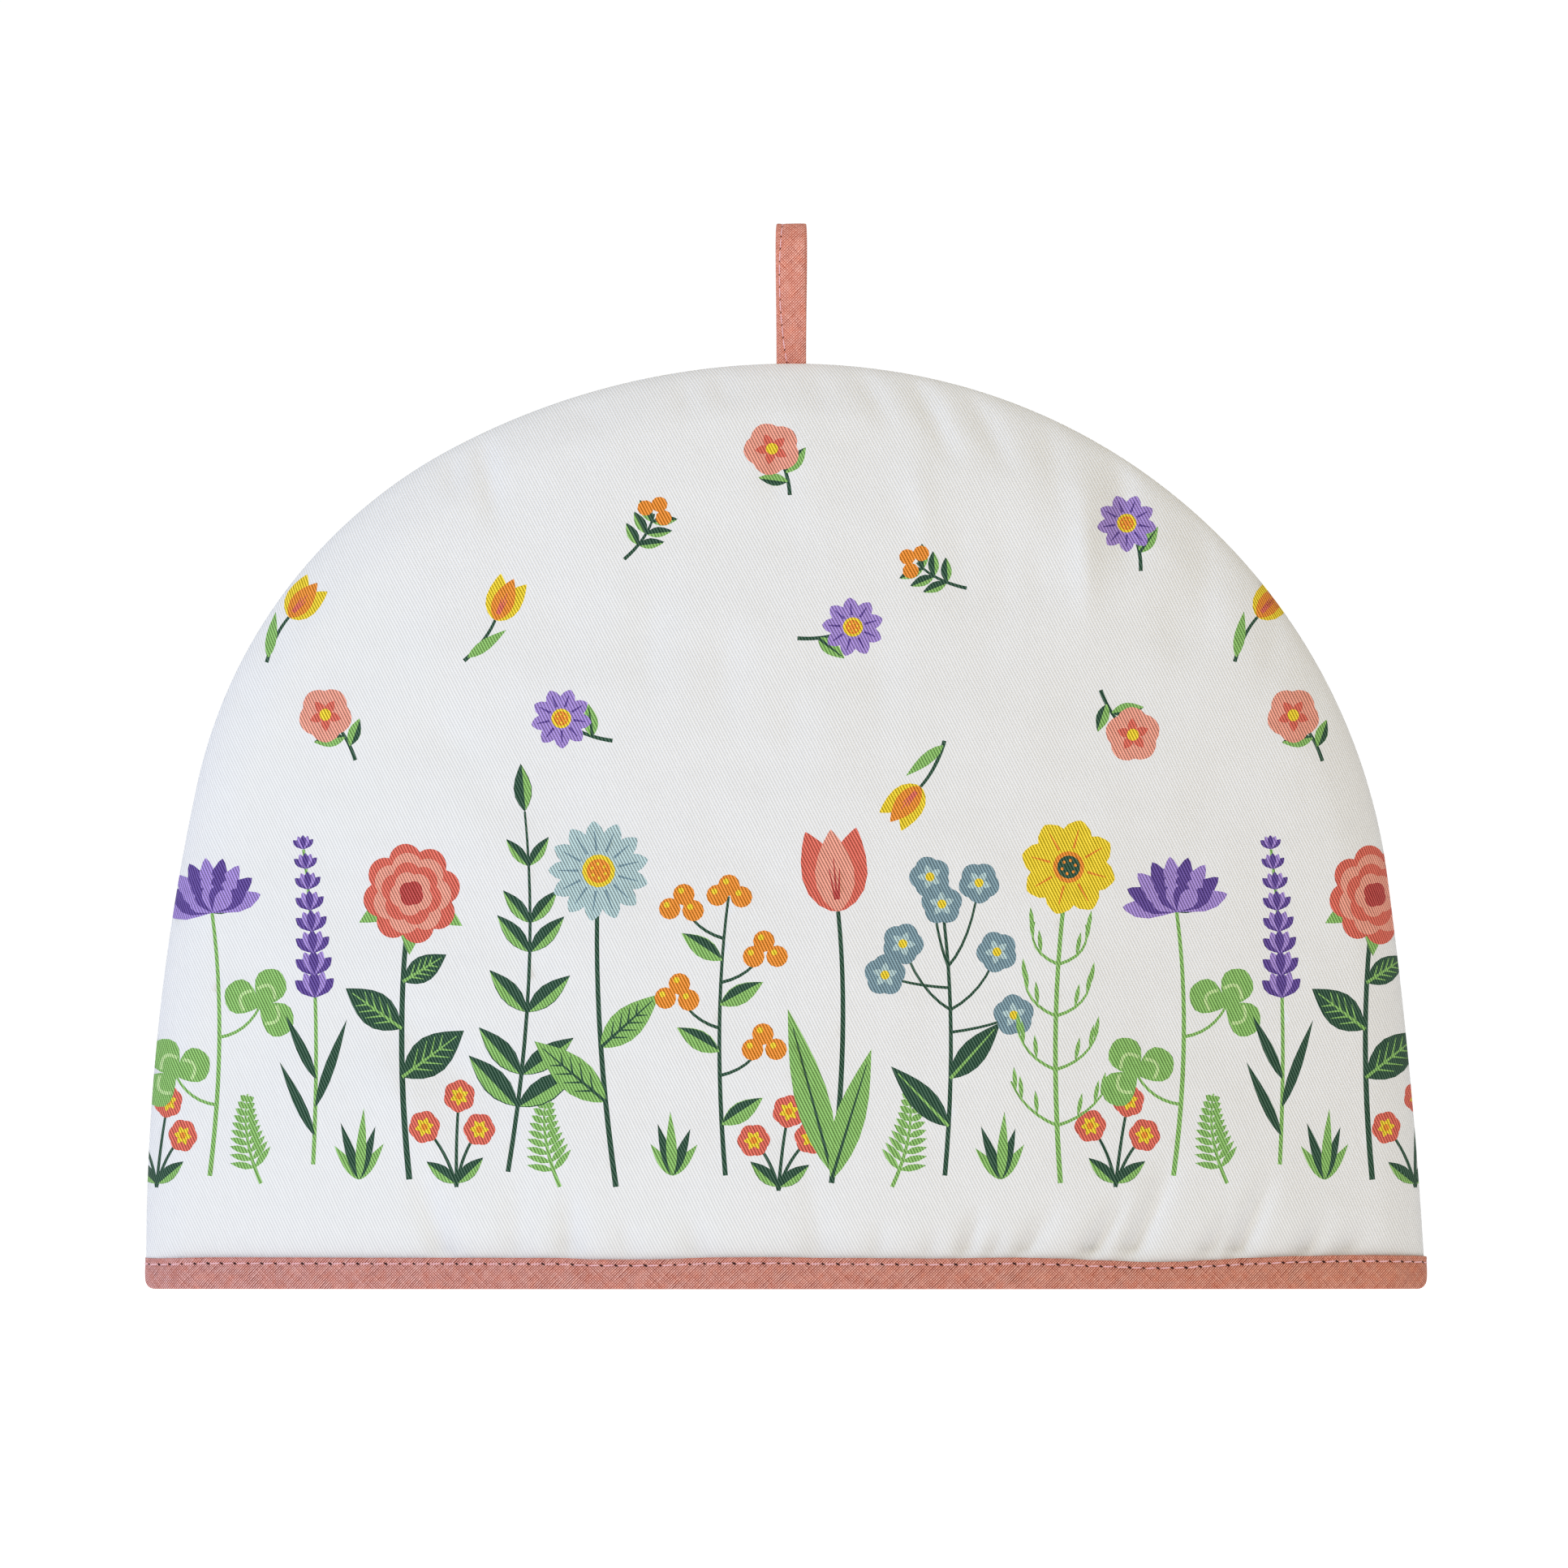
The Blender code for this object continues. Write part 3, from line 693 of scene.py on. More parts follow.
def clover(height, bow):
    line, parts = stem_of(height, bow, "leaf", 1.4, 1.0)
    chevron = ribbon(bent((-2.9, 3.8), (0, 8.6), (2.9, 3.8), 6), 0.9, 0.9)
    for index, side in ((3, -1), (6, 1)):
        twig = twig_from(line[index], (side * 8, 1), (side * 12, 8))
        leans = [lean + side * 30 for lean in (-95, 0, 95)]
        parts.append(("leaf", ribbon(twig, 0.9, 0.7)))
        parts += fan("leaf", blade(11, 9.5, 0.6, 0.6), leans, twig[-1])
        parts += fan("lime", chevron, leans, twig[-1])
    parts += fan("pine", blade(8, 3, 0.5), (-70, 70), line[-1])
    return parts + crowned(clover_head(15, "violet", "lilac"), line)


print("a clover has", len(clover(70, 6)), "areas of ink")


# %% [markdown]
# Low plants fill the feet of the border: tufts of grass, young ferns and button flowers.


# %% Low plants
def tuft(height, bow):
    blades = ((-38, 0.6, "leaf"), (36, 0.62, "leaf"), (-19, 0.84, "pine"), (18, 0.78, "pine"),
              (bow, 1.0, "leaf"))
    return [(ink, turned(blade(height * share, 2.9, 0.38), lean)) for lean, share, ink in blades]


def fern(height, bow):
    line, parts = stem_of(height, bow, "leaf", 1.1, 0.5)
    for index in range(2, 12):
        leans = [heading_at(line, index) + side * 60 for side in (-1, 1)]
        parts += fan("leaf", blade(8.4 - 0.55 * index, 1.9, 0.45, steps=5), leans, line[index])
    return parts


def buttons(height, bow):
    parts = []
    for reach, share in ((-8, 0.68), (7, 0.62), (bow, 1.0)):
        stalk = bent((0, 0), (reach * 0.25, height * share * 0.6), (reach, height * share), 8)
        parts.append(("pine", ribbon(stalk, 1.0, 0.7)))
        parts += set_at(round_head(4.4, 6, "coral", "yellow", "orange"), reach * 5, stalk[-1])
    for lean in (-52, 50):
        parts += set_at(halved_leaf(10, 4, "pine", "leaf"), lean, (0, 1), lean < 0)
    return parts


print("a tuft has", len(tuft(19, 4)), "blades")


# %% [markdown]
# Above the border, the ground is dotted with single sprigs, each a small flower on a short stem.


# %% Small sprigs
def small_daisy(height, bow):
    line, parts = stem_of(height, bow, "pine", 1.1, 0.8)
    parts += set_at(leaf(9, 4, "leaf", "pine", 0), 55, line[4])
    return parts + set_at(daisy_head(9, 8.2, 4.2, "lilac", "violet", "orange", "yellow"), 0, line[-1])


def small_tulip(height, bow):
    line, parts = stem_of(height, bow, "pine", 1.1, 0.8)
    parts += fan("leaf", blade(13, 3.2, 0.4), [20], line[1])
    return parts + crowned(tulip_head(13, "yellow", "orange", "coral"), line)


def small_blossom(height, bow):
    line, parts = stem_of(height, bow, "pine", 1.1, 0.7)
    parts += set_at(halved_leaf(9, 4, "leaf", "pine"), -60, line[5])
    parts += set_at(halved_leaf(8, 3.6, "leaf", "pine"), 58, line[3])
    return parts + set_at(round_head(7.6, 5, "rose", "coral", "yellow"), 0, line[-1])


def small_berries(height, bow):
    line, parts = stem_of(height, bow, "pine", 1.0, 0.6)
    for index in (4, 7, 10):
        for side in (-1, 1):
            parts += set_at(halved_leaf(7, 3, "pine", "leaf"), side * 55, line[index], side < 0)
    return parts + bunch(line[-1], ((0, 3), (2.8, 0.2), (-2.8, 0.4)), 2.2, 10, None)


print("a small daisy has", len(small_daisy(15, 3)), "areas of ink")

# %% [markdown]
# ## Lay out the print
#
# The border is a row of separate stems that stand side by side, tall and short in turn, with a
# bare margin above the tape. The row repeats along the cloth and the seams cut it where they
# fall, as on any length of printed cloth. Sizes are in millimetres of flat cloth.

# %% Rows of the layout: low plants, then the border, then the sprigs
Stem = namedtuple("Stem", "draw x z height bow lean flip", defaults=[False])
STEMS = [Stem(*row) for row in (
    (tuft, -115, 29, 19, 4, 0), (buttons, -88, 27, 24, 2, -3), (fern, -60, 27, 25, -5, -4),
    (tuft, -30, 30, 17, -5, 3), (buttons, -2, 26, 21, -2, 2, True), (fern, 28, 27, 26, 5, 6),
    (tuft, 57, 29, 18, 5, -2), (buttons, 88, 27, 23, 2, 4), (fern, 119, 28, 24, -5, -5),
    (lavender, -128, 33, 84, 5, -3), (rose, -101, 29, 76, -6, 2), (laurel, -74, 31, 96, 8, 1),
    (daisy, -45, 27, 84, 5, -2, True), (berries, -16, 30, 74, -5, 2), (tulip, 12, 28, 72, 5, 0),
    (forget_me_not, 42, 30, 72, 5, -2), (cosmos, 73, 28, 84, -6, 3), (clover, 104, 30, 70, 6, -1),
    (small_blossom, -116, 141, 15, 3, -38), (small_tulip, -86, 168, 14, 2, 34),
    (small_daisy, -46, 146, 15, -3, -62), (small_berries, -43, 196, 15, 3, 28),
    (small_daisy, 3, 174, 15, 3, 74), (small_blossom, 1, 214, 14, -3, -24, True),
    (small_tulip, 42, 146, 14, -2, -150), (small_berries, 48, 188, 15, 3, -58, True),
    (small_blossom, 84, 160, 15, 3, 140), (small_daisy, 95, 193, 14, 3, -20),
    (small_tulip, 121, 168, 14, 2, 30, True))]
BORDER_REPEAT = 262.0
OVERHANG = 40


def laid_out(shift):
    """All areas of ink for one panel, with the repeat slid sideways by shift."""
    parts = []
    for repeat in (-1, 0, 1):
        for stem in STEMS:
            at = (stem.x + shift + repeat * BORDER_REPEAT, stem.z)
            if abs(at[0]) < HALF_HEM / MM + OVERHANG:
                parts += set_at(stem.draw(stem.height, stem.bow), stem.lean, at, stem.flip)
    return parts


print("areas of ink on the front:", len(laid_out(0)))

# %% [markdown]
# ## Cut the cloth to the print
#
# The cover's faces have to end exactly where one ink meets another, or the colours would bleed
# across. A constrained triangulation does that: it takes the dome's outline, points all over the
# cloth for its curves, and every inked outline, and returns triangles that know which outlines
# they lie in. A plain grid would need a hundred times the faces for edges this sharp.

# %% Inks and points
INKS = {
    "pine": (0.012, 0.075, 0.036), "leaf": (0.240, 0.500, 0.120), "lime": (0.500, 0.720, 0.300),
    "yellow": (0.870, 0.640, 0.010), "orange": (0.850, 0.270, 0.012), "coral": (0.730, 0.130, 0.085),
    "rose": (0.850, 0.340, 0.250), "red": (0.480, 0.040, 0.035), "violet": (0.100, 0.045, 0.300),
    "lilac": (0.360, 0.240, 0.650), "sky": (0.440, 0.600, 0.620), "slate": (0.190, 0.310, 0.370),
}
CLOTH_STEP = 1.9 * MM
SEAM_STRIPS = [inset * MM for inset in (0.12, 0.4, 0.8, 1.3, 1.9, 2.6, 3.5, 4.7)]
LINING_STRIPS = [inset * MM for inset in (1.0, 2.4, 4.2)]
ABOVE_HEM, PAST_STRIPS = 0.2 * MM, 0.8 * MM
INK_CLEAR, RIM_CLEAR, LINING_CLEAR = 0.7 * MM, 0.6 * MM, 1.8 * MM
CUT_FINE, LINING_FINE = 1e-6, 1e-7
LINING_THIN = 3
HEM_BAND, WELD = 0.01 * MM, 0.02 * MM


def counted_round(outline):
    """The outline in counter-clockwise order, as the triangulation expects it."""
    area = sum(a.x * b.y - b.x * a.y for a, b in zip(outline, outline[1:] + outline[:1]))
    return outline if area > 0 else outline[::-1]


def along_seam(insets):
    """Points in rows that follow the seam, each row a little further in."""
    stations = seam_stations(CLOTH_STEP)
    points = [station.point + station.inward * inset for station in stations for inset in insets]
    return [point for point in points if point.y > PANEL_BOTTOM + ABOVE_HEM]


def apart_from(points, others, least):
    """The points that keep a least distance from all others, so that no slivers form."""
    tree = tree_of(others)
    return [point for point in points if not others or tree.find((*point, 0.0))[2] > least]


def dome_points():
    """The dome's closed outline, and the points inside it that carry its curves."""
    left, right = half_stations(-1, CLOTH_STEP), half_stations(1, CLOTH_STEP)
    seam = [station.point for station in left + right[-2::-1]]
    steps = ceil((seam[-1].x - seam[0].x) / CLOTH_STEP)
    hem = [seam[-1].lerp(seam[0], step / steps) for step in range(1, steps)]
    grid = []
    columns, rows = ceil(HALF_HEM / CLOTH_STEP), ceil(DOME_HEIGHT / CLOTH_STEP)
    for row in range(1, rows):
        for column in range(-columns, columns + 1):
            shift = CLOTH_STEP / 2 * (row % 2)
            grid.append(Vector((column * CLOTH_STEP + shift, PANEL_BOTTOM + row * CLOTH_STEP)))
    grid = [point for point in grid if on_dome(point)]
    inside = along_seam(SEAM_STRIPS) + apart_from(grid, seam, SEAM_STRIPS[-1] + PAST_STRIPS)
    return counted_round(seam + hem), inside


DOME_LINE, DOME_INSIDE = dome_points()
print("outline points:", len(DOME_LINE), "inner points:", len(DOME_INSIDE))


# %% Triangulate the print
def cut_print(parts, side):
    """2-D points, triangles and the ink of each triangle, for one panel."""
    shapes, inks = [DOME_LINE], [None]
    for ink, shape in parts:
        spots = [Vector(front_from_flat(-side * x * MM, z * MM)) for x, z in shape]
        if any(on_dome(spot) for spot in spots):
            shapes.append(counted_round(spots))
            inks.append(ink)
    points, faces = [], []
    for shape in shapes:
        faces.append(list(range(len(points), len(points) + len(shape))))
        points += shape
    points += apart_from(DOME_INSIDE, points[len(DOME_LINE):], INK_CLEAR)
    spots, _, triangles, _, _, homes = delaunay_2d_cdt(points, [], faces, 1, CUT_FINE)
    kept = [(triangle, inks[max(home)]) for triangle, home in zip(triangles, homes) if 0 in home]
    print("triangles:", len(kept), "inked:", sum(1 for _, ink in kept if ink))
    return spots, kept


# %% Build a cover from its flat cut
def border_of(triangles):
    """Corners round a triangulation in order, along the edges that no second triangle shares."""
    edges = {edge for triangle in triangles for edge in zip(triangle, [*triangle[1:], triangle[0]])}
    onward = {start: end for start, end in edges if (end, start) not in edges}
    loop = [next(corner for triangle in triangles for corner in triangle if corner in onward)]
    while onward[loop[-1]] != loop[0]:
        loop.append(onward[loop[-1]])
    return loop


def hang(name, bm):
    """Put a bmesh on an object of its own."""
    mesh = bpy.data.meshes.new(name)
    bm.to_mesh(mesh)
    bm.free()
    return into_scene(name, mesh)


def finish_piece(name, bm):
    """Turn the faces outwards, smooth them and count the edges that are left open."""
    bmesh.ops.recalc_face_normals(bm, faces=bm.faces)
    for face in bm.faces:
        face.smooth = True
    print(name, "faces:", len(bm.faces), "open edges:", sum(not edge.is_manifold for edge in bm.edges))
    return hang(name, bm)


def make_cover(name, side, puckers, shift):
    """A closed padded wall: printed cloth outside, plain cloth inside, joined at the seam and hem."""
    spots, kept = cut_print(laid_out(shift), side)
    border = border_of([triangle for triangle, _ in kept])
    rim = [spots[index] for index in border]
    band = apart_from(along_seam(LINING_STRIPS), rim, RIM_CLEAR)
    coarse = [point for point in DOME_INSIDE
              if sum(round(value / CLOTH_STEP) for value in point) % LINING_THIN == 0]
    coarse = band + apart_from(coarse, rim + band, LINING_CLEAR)
    edge = [list(range(len(rim)))]
    lining, _, lining_faces, _, _, _ = delaunay_2d_cdt(rim + coarse, [], edge, 1, LINING_FINE)
    bm = bmesh.new()
    ink_layer = bm.loops.layers.float_color.new("ink")
    cloth = bm.loops.layers.uv.new("Cloth")
    sewn = [spot.y > PANEL_BOTTOM + HEM_BAND for spot in rim]
    seam = {index for index, held in zip(border, sewn) if held}

    def corner(x, z, depth):
        return bm.verts.new((x, side * depth, z + corner_lift(x, z)))

    outer, inner = {}, []
    for index in {index for triangle, _ in kept for index in triangle}:
        x, z = spots[index]
        outer[index] = corner(x, z, NOSE_PEAK if index in seam else outer_depth(x, z, side, puckers))
    for index, (x, z) in enumerate(lining):
        held = index < len(rim) and sewn[index]
        inner.append(corner(x, z, NOSE_PEAK if held else inner_depth(x, z)))
    for triangle, ink in kept:
        face = bm.faces.new([outer[index] for index in triangle])
        for loop in face.loops:
            loop[ink_layer] = (*INKS[ink], 1.0) if ink else (0.0, 0.0, 0.0, 0.0)
    for triangle in lining_faces:
        bm.faces.new([inner[index] for index in reversed(triangle)]).material_index = 1
    for place, start in enumerate(border):
        following = (place + 1) % len(border)
        end = border[following]
        if not (start in seam or end in seam):
            bm.faces.new([outer[end], outer[start], inner[place], inner[following]]).material_index = 1
    bmesh.ops.remove_doubles(bm, verts=bm.verts, dist=WELD)
    for face in bm.faces:
        for loop in face.loops:
            loop[cloth].uv = cloth_place(loop.vert.co.x, loop.vert.co.z, side)
    return finish_piece(name, bm)


BACK_SLIDE = 64.0
front_cover = make_cover("front_cover", -1, FRONT_PUCKERS, 0.0)
back_cover = make_cover("back_cover", 1, BACK_PUCKERS, BACK_SLIDE)

# %% [markdown]
# ## Wiring materials
#
# Node trees built by hand in code get long, so small helpers place a node with its values and
# links. Any node's output is wrapped as a Field, which can be added and multiplied like a number:
# each such sum becomes a Math node, and the code reads like the formula that it is.


# %% Node helpers
def add_node(tree, kind, inputs, **settings):
    """A node with its settings. A field is linked, and anything else is set on the socket itself."""
    node = tree.nodes.new(kind)
    for name, value in settings.items():
        setattr(node, name, value)
    for key, value in inputs.items():
        if isinstance(value, Field):
            tree.links.new(value.socket, node.inputs[key])
        else:
            node.inputs[key].default_value = value
    return node


class Field:
    """A node's output that takes part in sums."""

    def __init__(self, node, output=0):
        self.socket = node.outputs[output]

    def math(self, operation, *others):
        tree = self.socket.id_data
        inputs = dict(enumerate((self, *others)))
        return Field(add_node(tree, "ShaderNodeMath", inputs, operation=operation))

    def __add__(self, other):
        return self.math('ADD', other)

    def __sub__(self, other):
        return self.math('SUBTRACT', other)

    def __mul__(self, other):
        return self.math('MULTIPLY', other)

    def __truediv__(self, other):
        return self.math('DIVIDE', other)

    def times_plus(self, factor, more):
        return self.math('MULTIPLY_ADD', factor, more)


def mixed(tree, factor, first, second, blend='MIX'):
    inputs = {0: factor, 6: first, 7: second}
    return Field(add_node(tree, "ShaderNodeMix", inputs, data_type='RGBA', blend_type=blend), 2)


def noise_of(tree, vector, scale, detail=2.0):
    inputs = {"Vector": vector, "Scale": scale, "Detail": detail}
    return Field(add_node(tree, "ShaderNodeTexNoise", inputs), "Fac")


def uv_place(tree, name):
    return Field(add_node(tree, "ShaderNodeUVMap", {}, uv_map=name))


def object_place(tree):
    return Field(add_node(tree, "ShaderNodeTexCoord", {}), "Object")


def axes_of(tree, vector):
    node = add_node(tree, "ShaderNodeSeparateXYZ", {0: vector})
    return [Field(node, axis) for axis in range(3)]


def joined(tree, x, y):
    return Field(add_node(tree, "ShaderNodeCombineXYZ", {0: x, 1: y}))


def grey_of(tree, value):
    return Field(add_node(tree, "ShaderNodeCombineColor", {0: value, 1: value, 2: value}))


def ranged(tree, value, low, high, top=1.0):
    inputs = {"Value": value, "From Min": low, "From Max": high, "To Max": top}
    return Field(add_node(tree, "ShaderNodeMapRange", inputs))


print("node helpers ready")


# %% Helpers for the cloth shaders
def new_material(name, roughness, sheen):
    """A matt cloth shader with its fixed values on its own sockets."""
    material = bpy.data.materials.new(name)
    material.use_nodes = True
    shader = material.node_tree.nodes["Principled BSDF"]
    fixed = {"Roughness": roughness, "Sheen Weight": sheen, "Sheen Roughness": 0.5,
             "Specular IOR Level": 0.15}
    for socket, value in fixed.items():
        shader.inputs[socket].default_value = value
    return material, material.node_tree, shader


def dress(tree, shader, colour, height=None, strength=0.0, distance=0.0):
    """Give the shader its colour, and a bump where the cloth has relief."""
    tree.links.new(colour.socket, shader.inputs["Base Color"])
    if height:
        inputs = {"Strength": strength, "Distance": distance, "Height": height}
        bump = add_node(tree, "ShaderNodeBump", inputs)
        tree.links.new(bump.outputs[0], shader.inputs["Normal"])


def weave_place(tree, direction, pitch):
    """Cloth position along a direction, counted in threads."""
    inputs = {0: uv_place(tree, "Cloth"), 1: (direction[0] / pitch, direction[1] / pitch, 0)}
    return Field(add_node(tree, "ShaderNodeVectorMath", inputs, operation='DOT_PRODUCT'), "Value")


def cosine_of(turns):
    """A cosine of a number of turns, from 0 to 1."""
    return (turns * (2 * pi)).math('COSINE').times_plus(0.5, 0.5)


print("cloth helpers ready")

# %% [markdown]
# ## Printed cotton twill
#
# Twill has a diagonal line because each thread passes over its neighbours one step further on.
# In this three-shaft twill every warp thread floats over two weft threads and dips under the
# third, which gives ridges 0.77 mm apart and a small pinhole at each dip. The shader counts
# threads both ways on the flat cloth and makes the same lines and dips from two cosines. They
# drive the bump, and they darken the grooves and pinholes with painted shade, on the ink too.

# %% Thread count of the twill
TWILL_PITCH = 0.766 * MM
TWILL_LEAN = radians(26.8)
SHAFTS = 3
WARP_STEP = TWILL_PITCH / cos(TWILL_LEAN) / SHAFTS
WEFT_STEP = TWILL_PITCH / sin(TWILL_LEAN) / SHAFTS
COTTON_RIDGE = (0.860, 0.862, 0.866, 1.0)
# The groove colour is painted shade at the bottom of the twill's grooves.
COTTON_GROOVE_SHADE = (0.700, 0.698, 0.706, 1.0)
WANDER_SCALE, WANDER = 42.0, 1.1
YARN_SCALE, YARN_STRETCH, YARN_SHIFT, YARN_TONE = 0.9, 0.14, 0.16, 0.5
RIDGE_GAIN, RIDGE_BASE = 1.15, 0.12
INK_LIFT, INK_SHADE_GAIN, INK_SHADE_BASE = 0.05, 0.64, 0.47
PINHOLE = 0.34
INK_BODY = (0.85, 0.85, 0.85, 1.0)
print("warp threads in 10 mm:", round(10 * MM / WARP_STEP), "weft:", round(10 * MM / WEFT_STEP))


# %% Twill material
def twill_wave(tree):
    """The twill from 0 in a groove to 1 on a ridge, and how thick the yarn is there."""
    warp, weft = weave_place(tree, (1, 0), WARP_STEP), weave_place(tree, (0, 1), WEFT_STEP)
    diagonal = (warp + weft) / SHAFTS + noise_of(tree, uv_place(tree, "Cloth"), WANDER_SCALE) * WANDER
    yarn = noise_of(tree, joined(tree, diagonal, weft * YARN_STRETCH), YARN_SCALE)
    ridge = cosine_of(yarn.times_plus(YARN_SHIFT, diagonal))
    in_groove = ridge.times_plus(-1.0, 1.0)
    return ridge - in_groove * cosine_of(weft) * PINHOLE, yarn


def twill_material(name, printed):
    material, tree, shader = new_material(name, roughness=0.88, sheen=0.04)
    wave, yarn = twill_wave(tree)
    # Painted shade: this tone darkens the grooves and pinholes, with the yarn's own thick-and-thin tone
    # added.
    shade_and_yarn_tone = (yarn - 0.5).times_plus(YARN_TONE, wave.times_plus(RIDGE_GAIN, RIDGE_BASE))
    colour = mixed(tree, shade_and_yarn_tone, COTTON_GROOVE_SHADE, COTTON_RIDGE)
    if printed:
        ink = add_node(tree, "ShaderNodeVertexColor", {}, layer_name="ink")
        body = mixed(tree, shade_and_yarn_tone * INK_LIFT, Field(ink, "Color"), INK_BODY)
        # Painted shade: the ink is darkened in the grooves too.
        strength = grey_of(tree, shade_and_yarn_tone.times_plus(INK_SHADE_GAIN, INK_SHADE_BASE))
        inked = mixed(tree, 1.0, body, strength, 'MULTIPLY')
        colour = mixed(tree, Field(ink, "Alpha"), colour, inked)
    dress(tree, shader, colour, wave, strength=0.6, distance=0.12 * MM)
    return material


printed_twill = twill_material("printed_twill", True)
plain_twill = twill_material("plain_lining", False)
for cover in (front_cover, back_cover):
    cover.data.materials.append(printed_twill)
    cover.data.materials.append(plain_twill)
print("materials on the covers:", [material.name for material in front_cover.data.materials])

# %% [markdown]
# ## The tape round the hem
#
# Bias tape is a strip cut at 45 degrees, folded over the raw hem and topstitched. Its section is a
# U: two walls a tape thick, a rounded fold under the hem, and a soft fold along each top edge. The
# stitching pulls a shallow groove into it, and the tape puffs a little between groove and fold.
# The section is run round the hem as rows of a grid, and closing the grid on itself makes the skin.

# %% Line round the hem
TAPE = 0.9 * MM
TAPE_GAP = 0.3 * MM
FOLD_RADIUS = 0.6 * MM
STITCH_PITCH = 3.86 * MM
STITCH_DROP = 1.65 * MM
CORNER_REACH = 3 * MM
HEM_STEPS = 700


def resampled(line, count):
    """The same line as evenly spaced points."""
    lengths = [0.0]
    for start, end in zip(line, line[1:]):
        lengths.append(lengths[-1] + (end - start).length)
    points, index = [], 0
    for step in range(count + 1):
        target = lengths[-1] * step / count
        while index < len(line) - 2 and lengths[index + 1] < target:
            index += 1
        share = (target - lengths[index]) / (lengths[index + 1] - lengths[index])
        points.append(line[index].lerp(line[index + 1], min(max(share, 0.0), 1.0)))
    return points


def hem_line(depth):
    """Front half of a panel's hem in plan, with the way outwards at each point."""
    places = [-HALF_HEM * cos(pi * step / HEM_STEPS) for step in range(HEM_STEPS + 1)]
    line = [Vector((x, -depth(x, PANEL_BOTTOM))) for x in places]
    ends = [around(line, index) for index in range(len(line))]
    runs = [(after - before).normalized() for before, after in ends]
    return [(spot, Vector((run.y, -run.x))) for spot, run in zip(line, runs)]


OUTER_LINE, INNER_LINE = hem_line(outer_depth), hem_line(inner_depth)


def ring_off(side, offset, count):
    """A closed line a little way off the panels' outer or inner face, with its tips on y = 0."""
    if side == "outer":
        front = [spot + out * offset for spot, out in OUTER_LINE]
        tip = HALF_HEM + offset
    else:
        front = [spot - out * offset for spot, out in INNER_LINE
                 if spot.y < -2 * TAPE_GAP and abs(spot.x) < HALF_HEM - CORNER_REACH]
        front = [spot for spot in front if spot.y < -TAPE_GAP]
        slope = (front[0].y - front[1].y) / (front[1].x - front[0].x)
        tip = front[-1].x - front[-1].y / slope
    front = resampled([Vector((-tip, 0.0))] + front + [Vector((tip, 0.0))], count)
    return front + [Vector((spot.x, -spot.y)) for spot in reversed(front[1:-1])]


HEM_LENGTH = 2 * sum((b - a).length for (a, _), (b, _) in zip(OUTER_LINE, OUTER_LINE[1:]))
print("hem all round in mm:", round(HEM_LENGTH / MM))

# %% [markdown]
# A hand guides the tape under the needle, so its edge rises and dips along the hem, and the
# stitching follows it. The edge is a short table of places and heights, eased from one to the
# next. At the side seams the tape is drawn tight round the corner, so it is thinner there.

# %% Run of the tape's edge
EDGE_RUN = [(-171, 8.1), (-150, 8.45), (-100, 8.35), (-60, 8.3), (-50, 7.9), (-36, 7.9), (-18, 8.45),
            (-4, 8.5), (12, 8.3), (40, 8.15), (60, 8.4), (72, 8.15), (82, 7.7), (96, 7.2), (104, 7.3),
            (112, 7.75), (122, 8.3), (136, 8.8), (150, 9.05), (171, 8.9)]
BACK_EDGE_RUN = [(-171, 8.7), (-140, 8.3), (-96, 8.5), (-70, 8.1), (-34, 8.0), (10, 8.4), (52, 8.2),
                 (90, 8.5), (120, 8.0), (171, 8.3)]
SIDE_BLEND = 16 * MM


def soft_step(value):
    value = min(max(value, 0.0), 1.0)
    return value * value * (3 - 2 * value)


def edge_height(x, run):
    for (low_x, low), (high_x, high) in zip(run, run[1:]):
        if x <= high_x * MM:
            return (low + (high - low) * soft_step((x / MM - low_x) / (high_x - low_x))) * MM
    return run[-1][1] * MM


def tape_top(x, y):
    """Height of the tape's edge where it passes a point of the hem."""
    front, back = edge_height(x, EDGE_RUN), edge_height(x, BACK_EDGE_RUN)
    return front + (back - front) * soft_step((y + SIDE_BLEND / 2) / SIDE_BLEND)


print("tape height in mm:", [round(tape_top(x * MM, -0.04) / MM, 1) for x in (-150, 0, 96, 150)])

# %% Section of the tape
OUTSIDE_ROWS = (0.9, 0.865, 0.835, 0.81, 0.785, 0.76, 0.73, 0.68, 0.6, 0.5, 0.4, 0.3, 0.2)
INSIDE_ROWS = (0.88, 0.81, 0.76, 0.68, 0.5, 0.25)
FOLD_START, FOLD_RISE = 0.945, 0.055
TIGHT_LEAST, TIGHT_RUN = 0.28, 11 * MM
GROOVE_WIDTH, HOLE_WIDTH = 0.5 * MM, 0.45 * MM
TAPE_GROOVE, TAPE_DIMPLE, TAPE_PUFF, TAPE_RUCK = 0.24 * MM, 0.3 * MM, 0.3 * MM, 0.1 * MM
RUCK_ALONG, RUCK_SLANT, RUCK_UP = 170, 60, 90
RUCK_SEEDS = {"outer": 1.0, "inner": 7.0}
HIDDEN_ROWS = (0.15, 0.5, 0.93)
FAR_OFF = 9.0
STITCHES = 2 * round(HEM_LENGTH / STITCH_PITCH / 2)
STATIONS_A_STITCH = 6
HEM_STATIONS = STITCHES * STATIONS_A_STITCH
HEM_BASE = {side: ring_off(side, 0.0, HEM_STATIONS // 2) for side in ("outer", "inner")}
HEM_OFF = {"inner": ring_off("inner", 1.0 * MM, HEM_STATIONS // 2), "outer": []}
for station, spot in enumerate(HEM_BASE["outer"]):
    run = HEM_BASE["outer"][(station + 2) % HEM_STATIONS] - HEM_BASE["outer"][station - 2]
    HEM_OFF["outer"].append(spot + Vector((run.y, -run.x)).normalized() * MM)
print("stitches round the hem:", STITCHES)


def bell(value, width):
    return exp(-(value / width) ** 2)


def from_hole(count, pitch):
    """Distance to the nearest needle hole, where count is the place in stitches."""
    beat = count % 1.0
    return min(beat, 1 - beat) * pitch


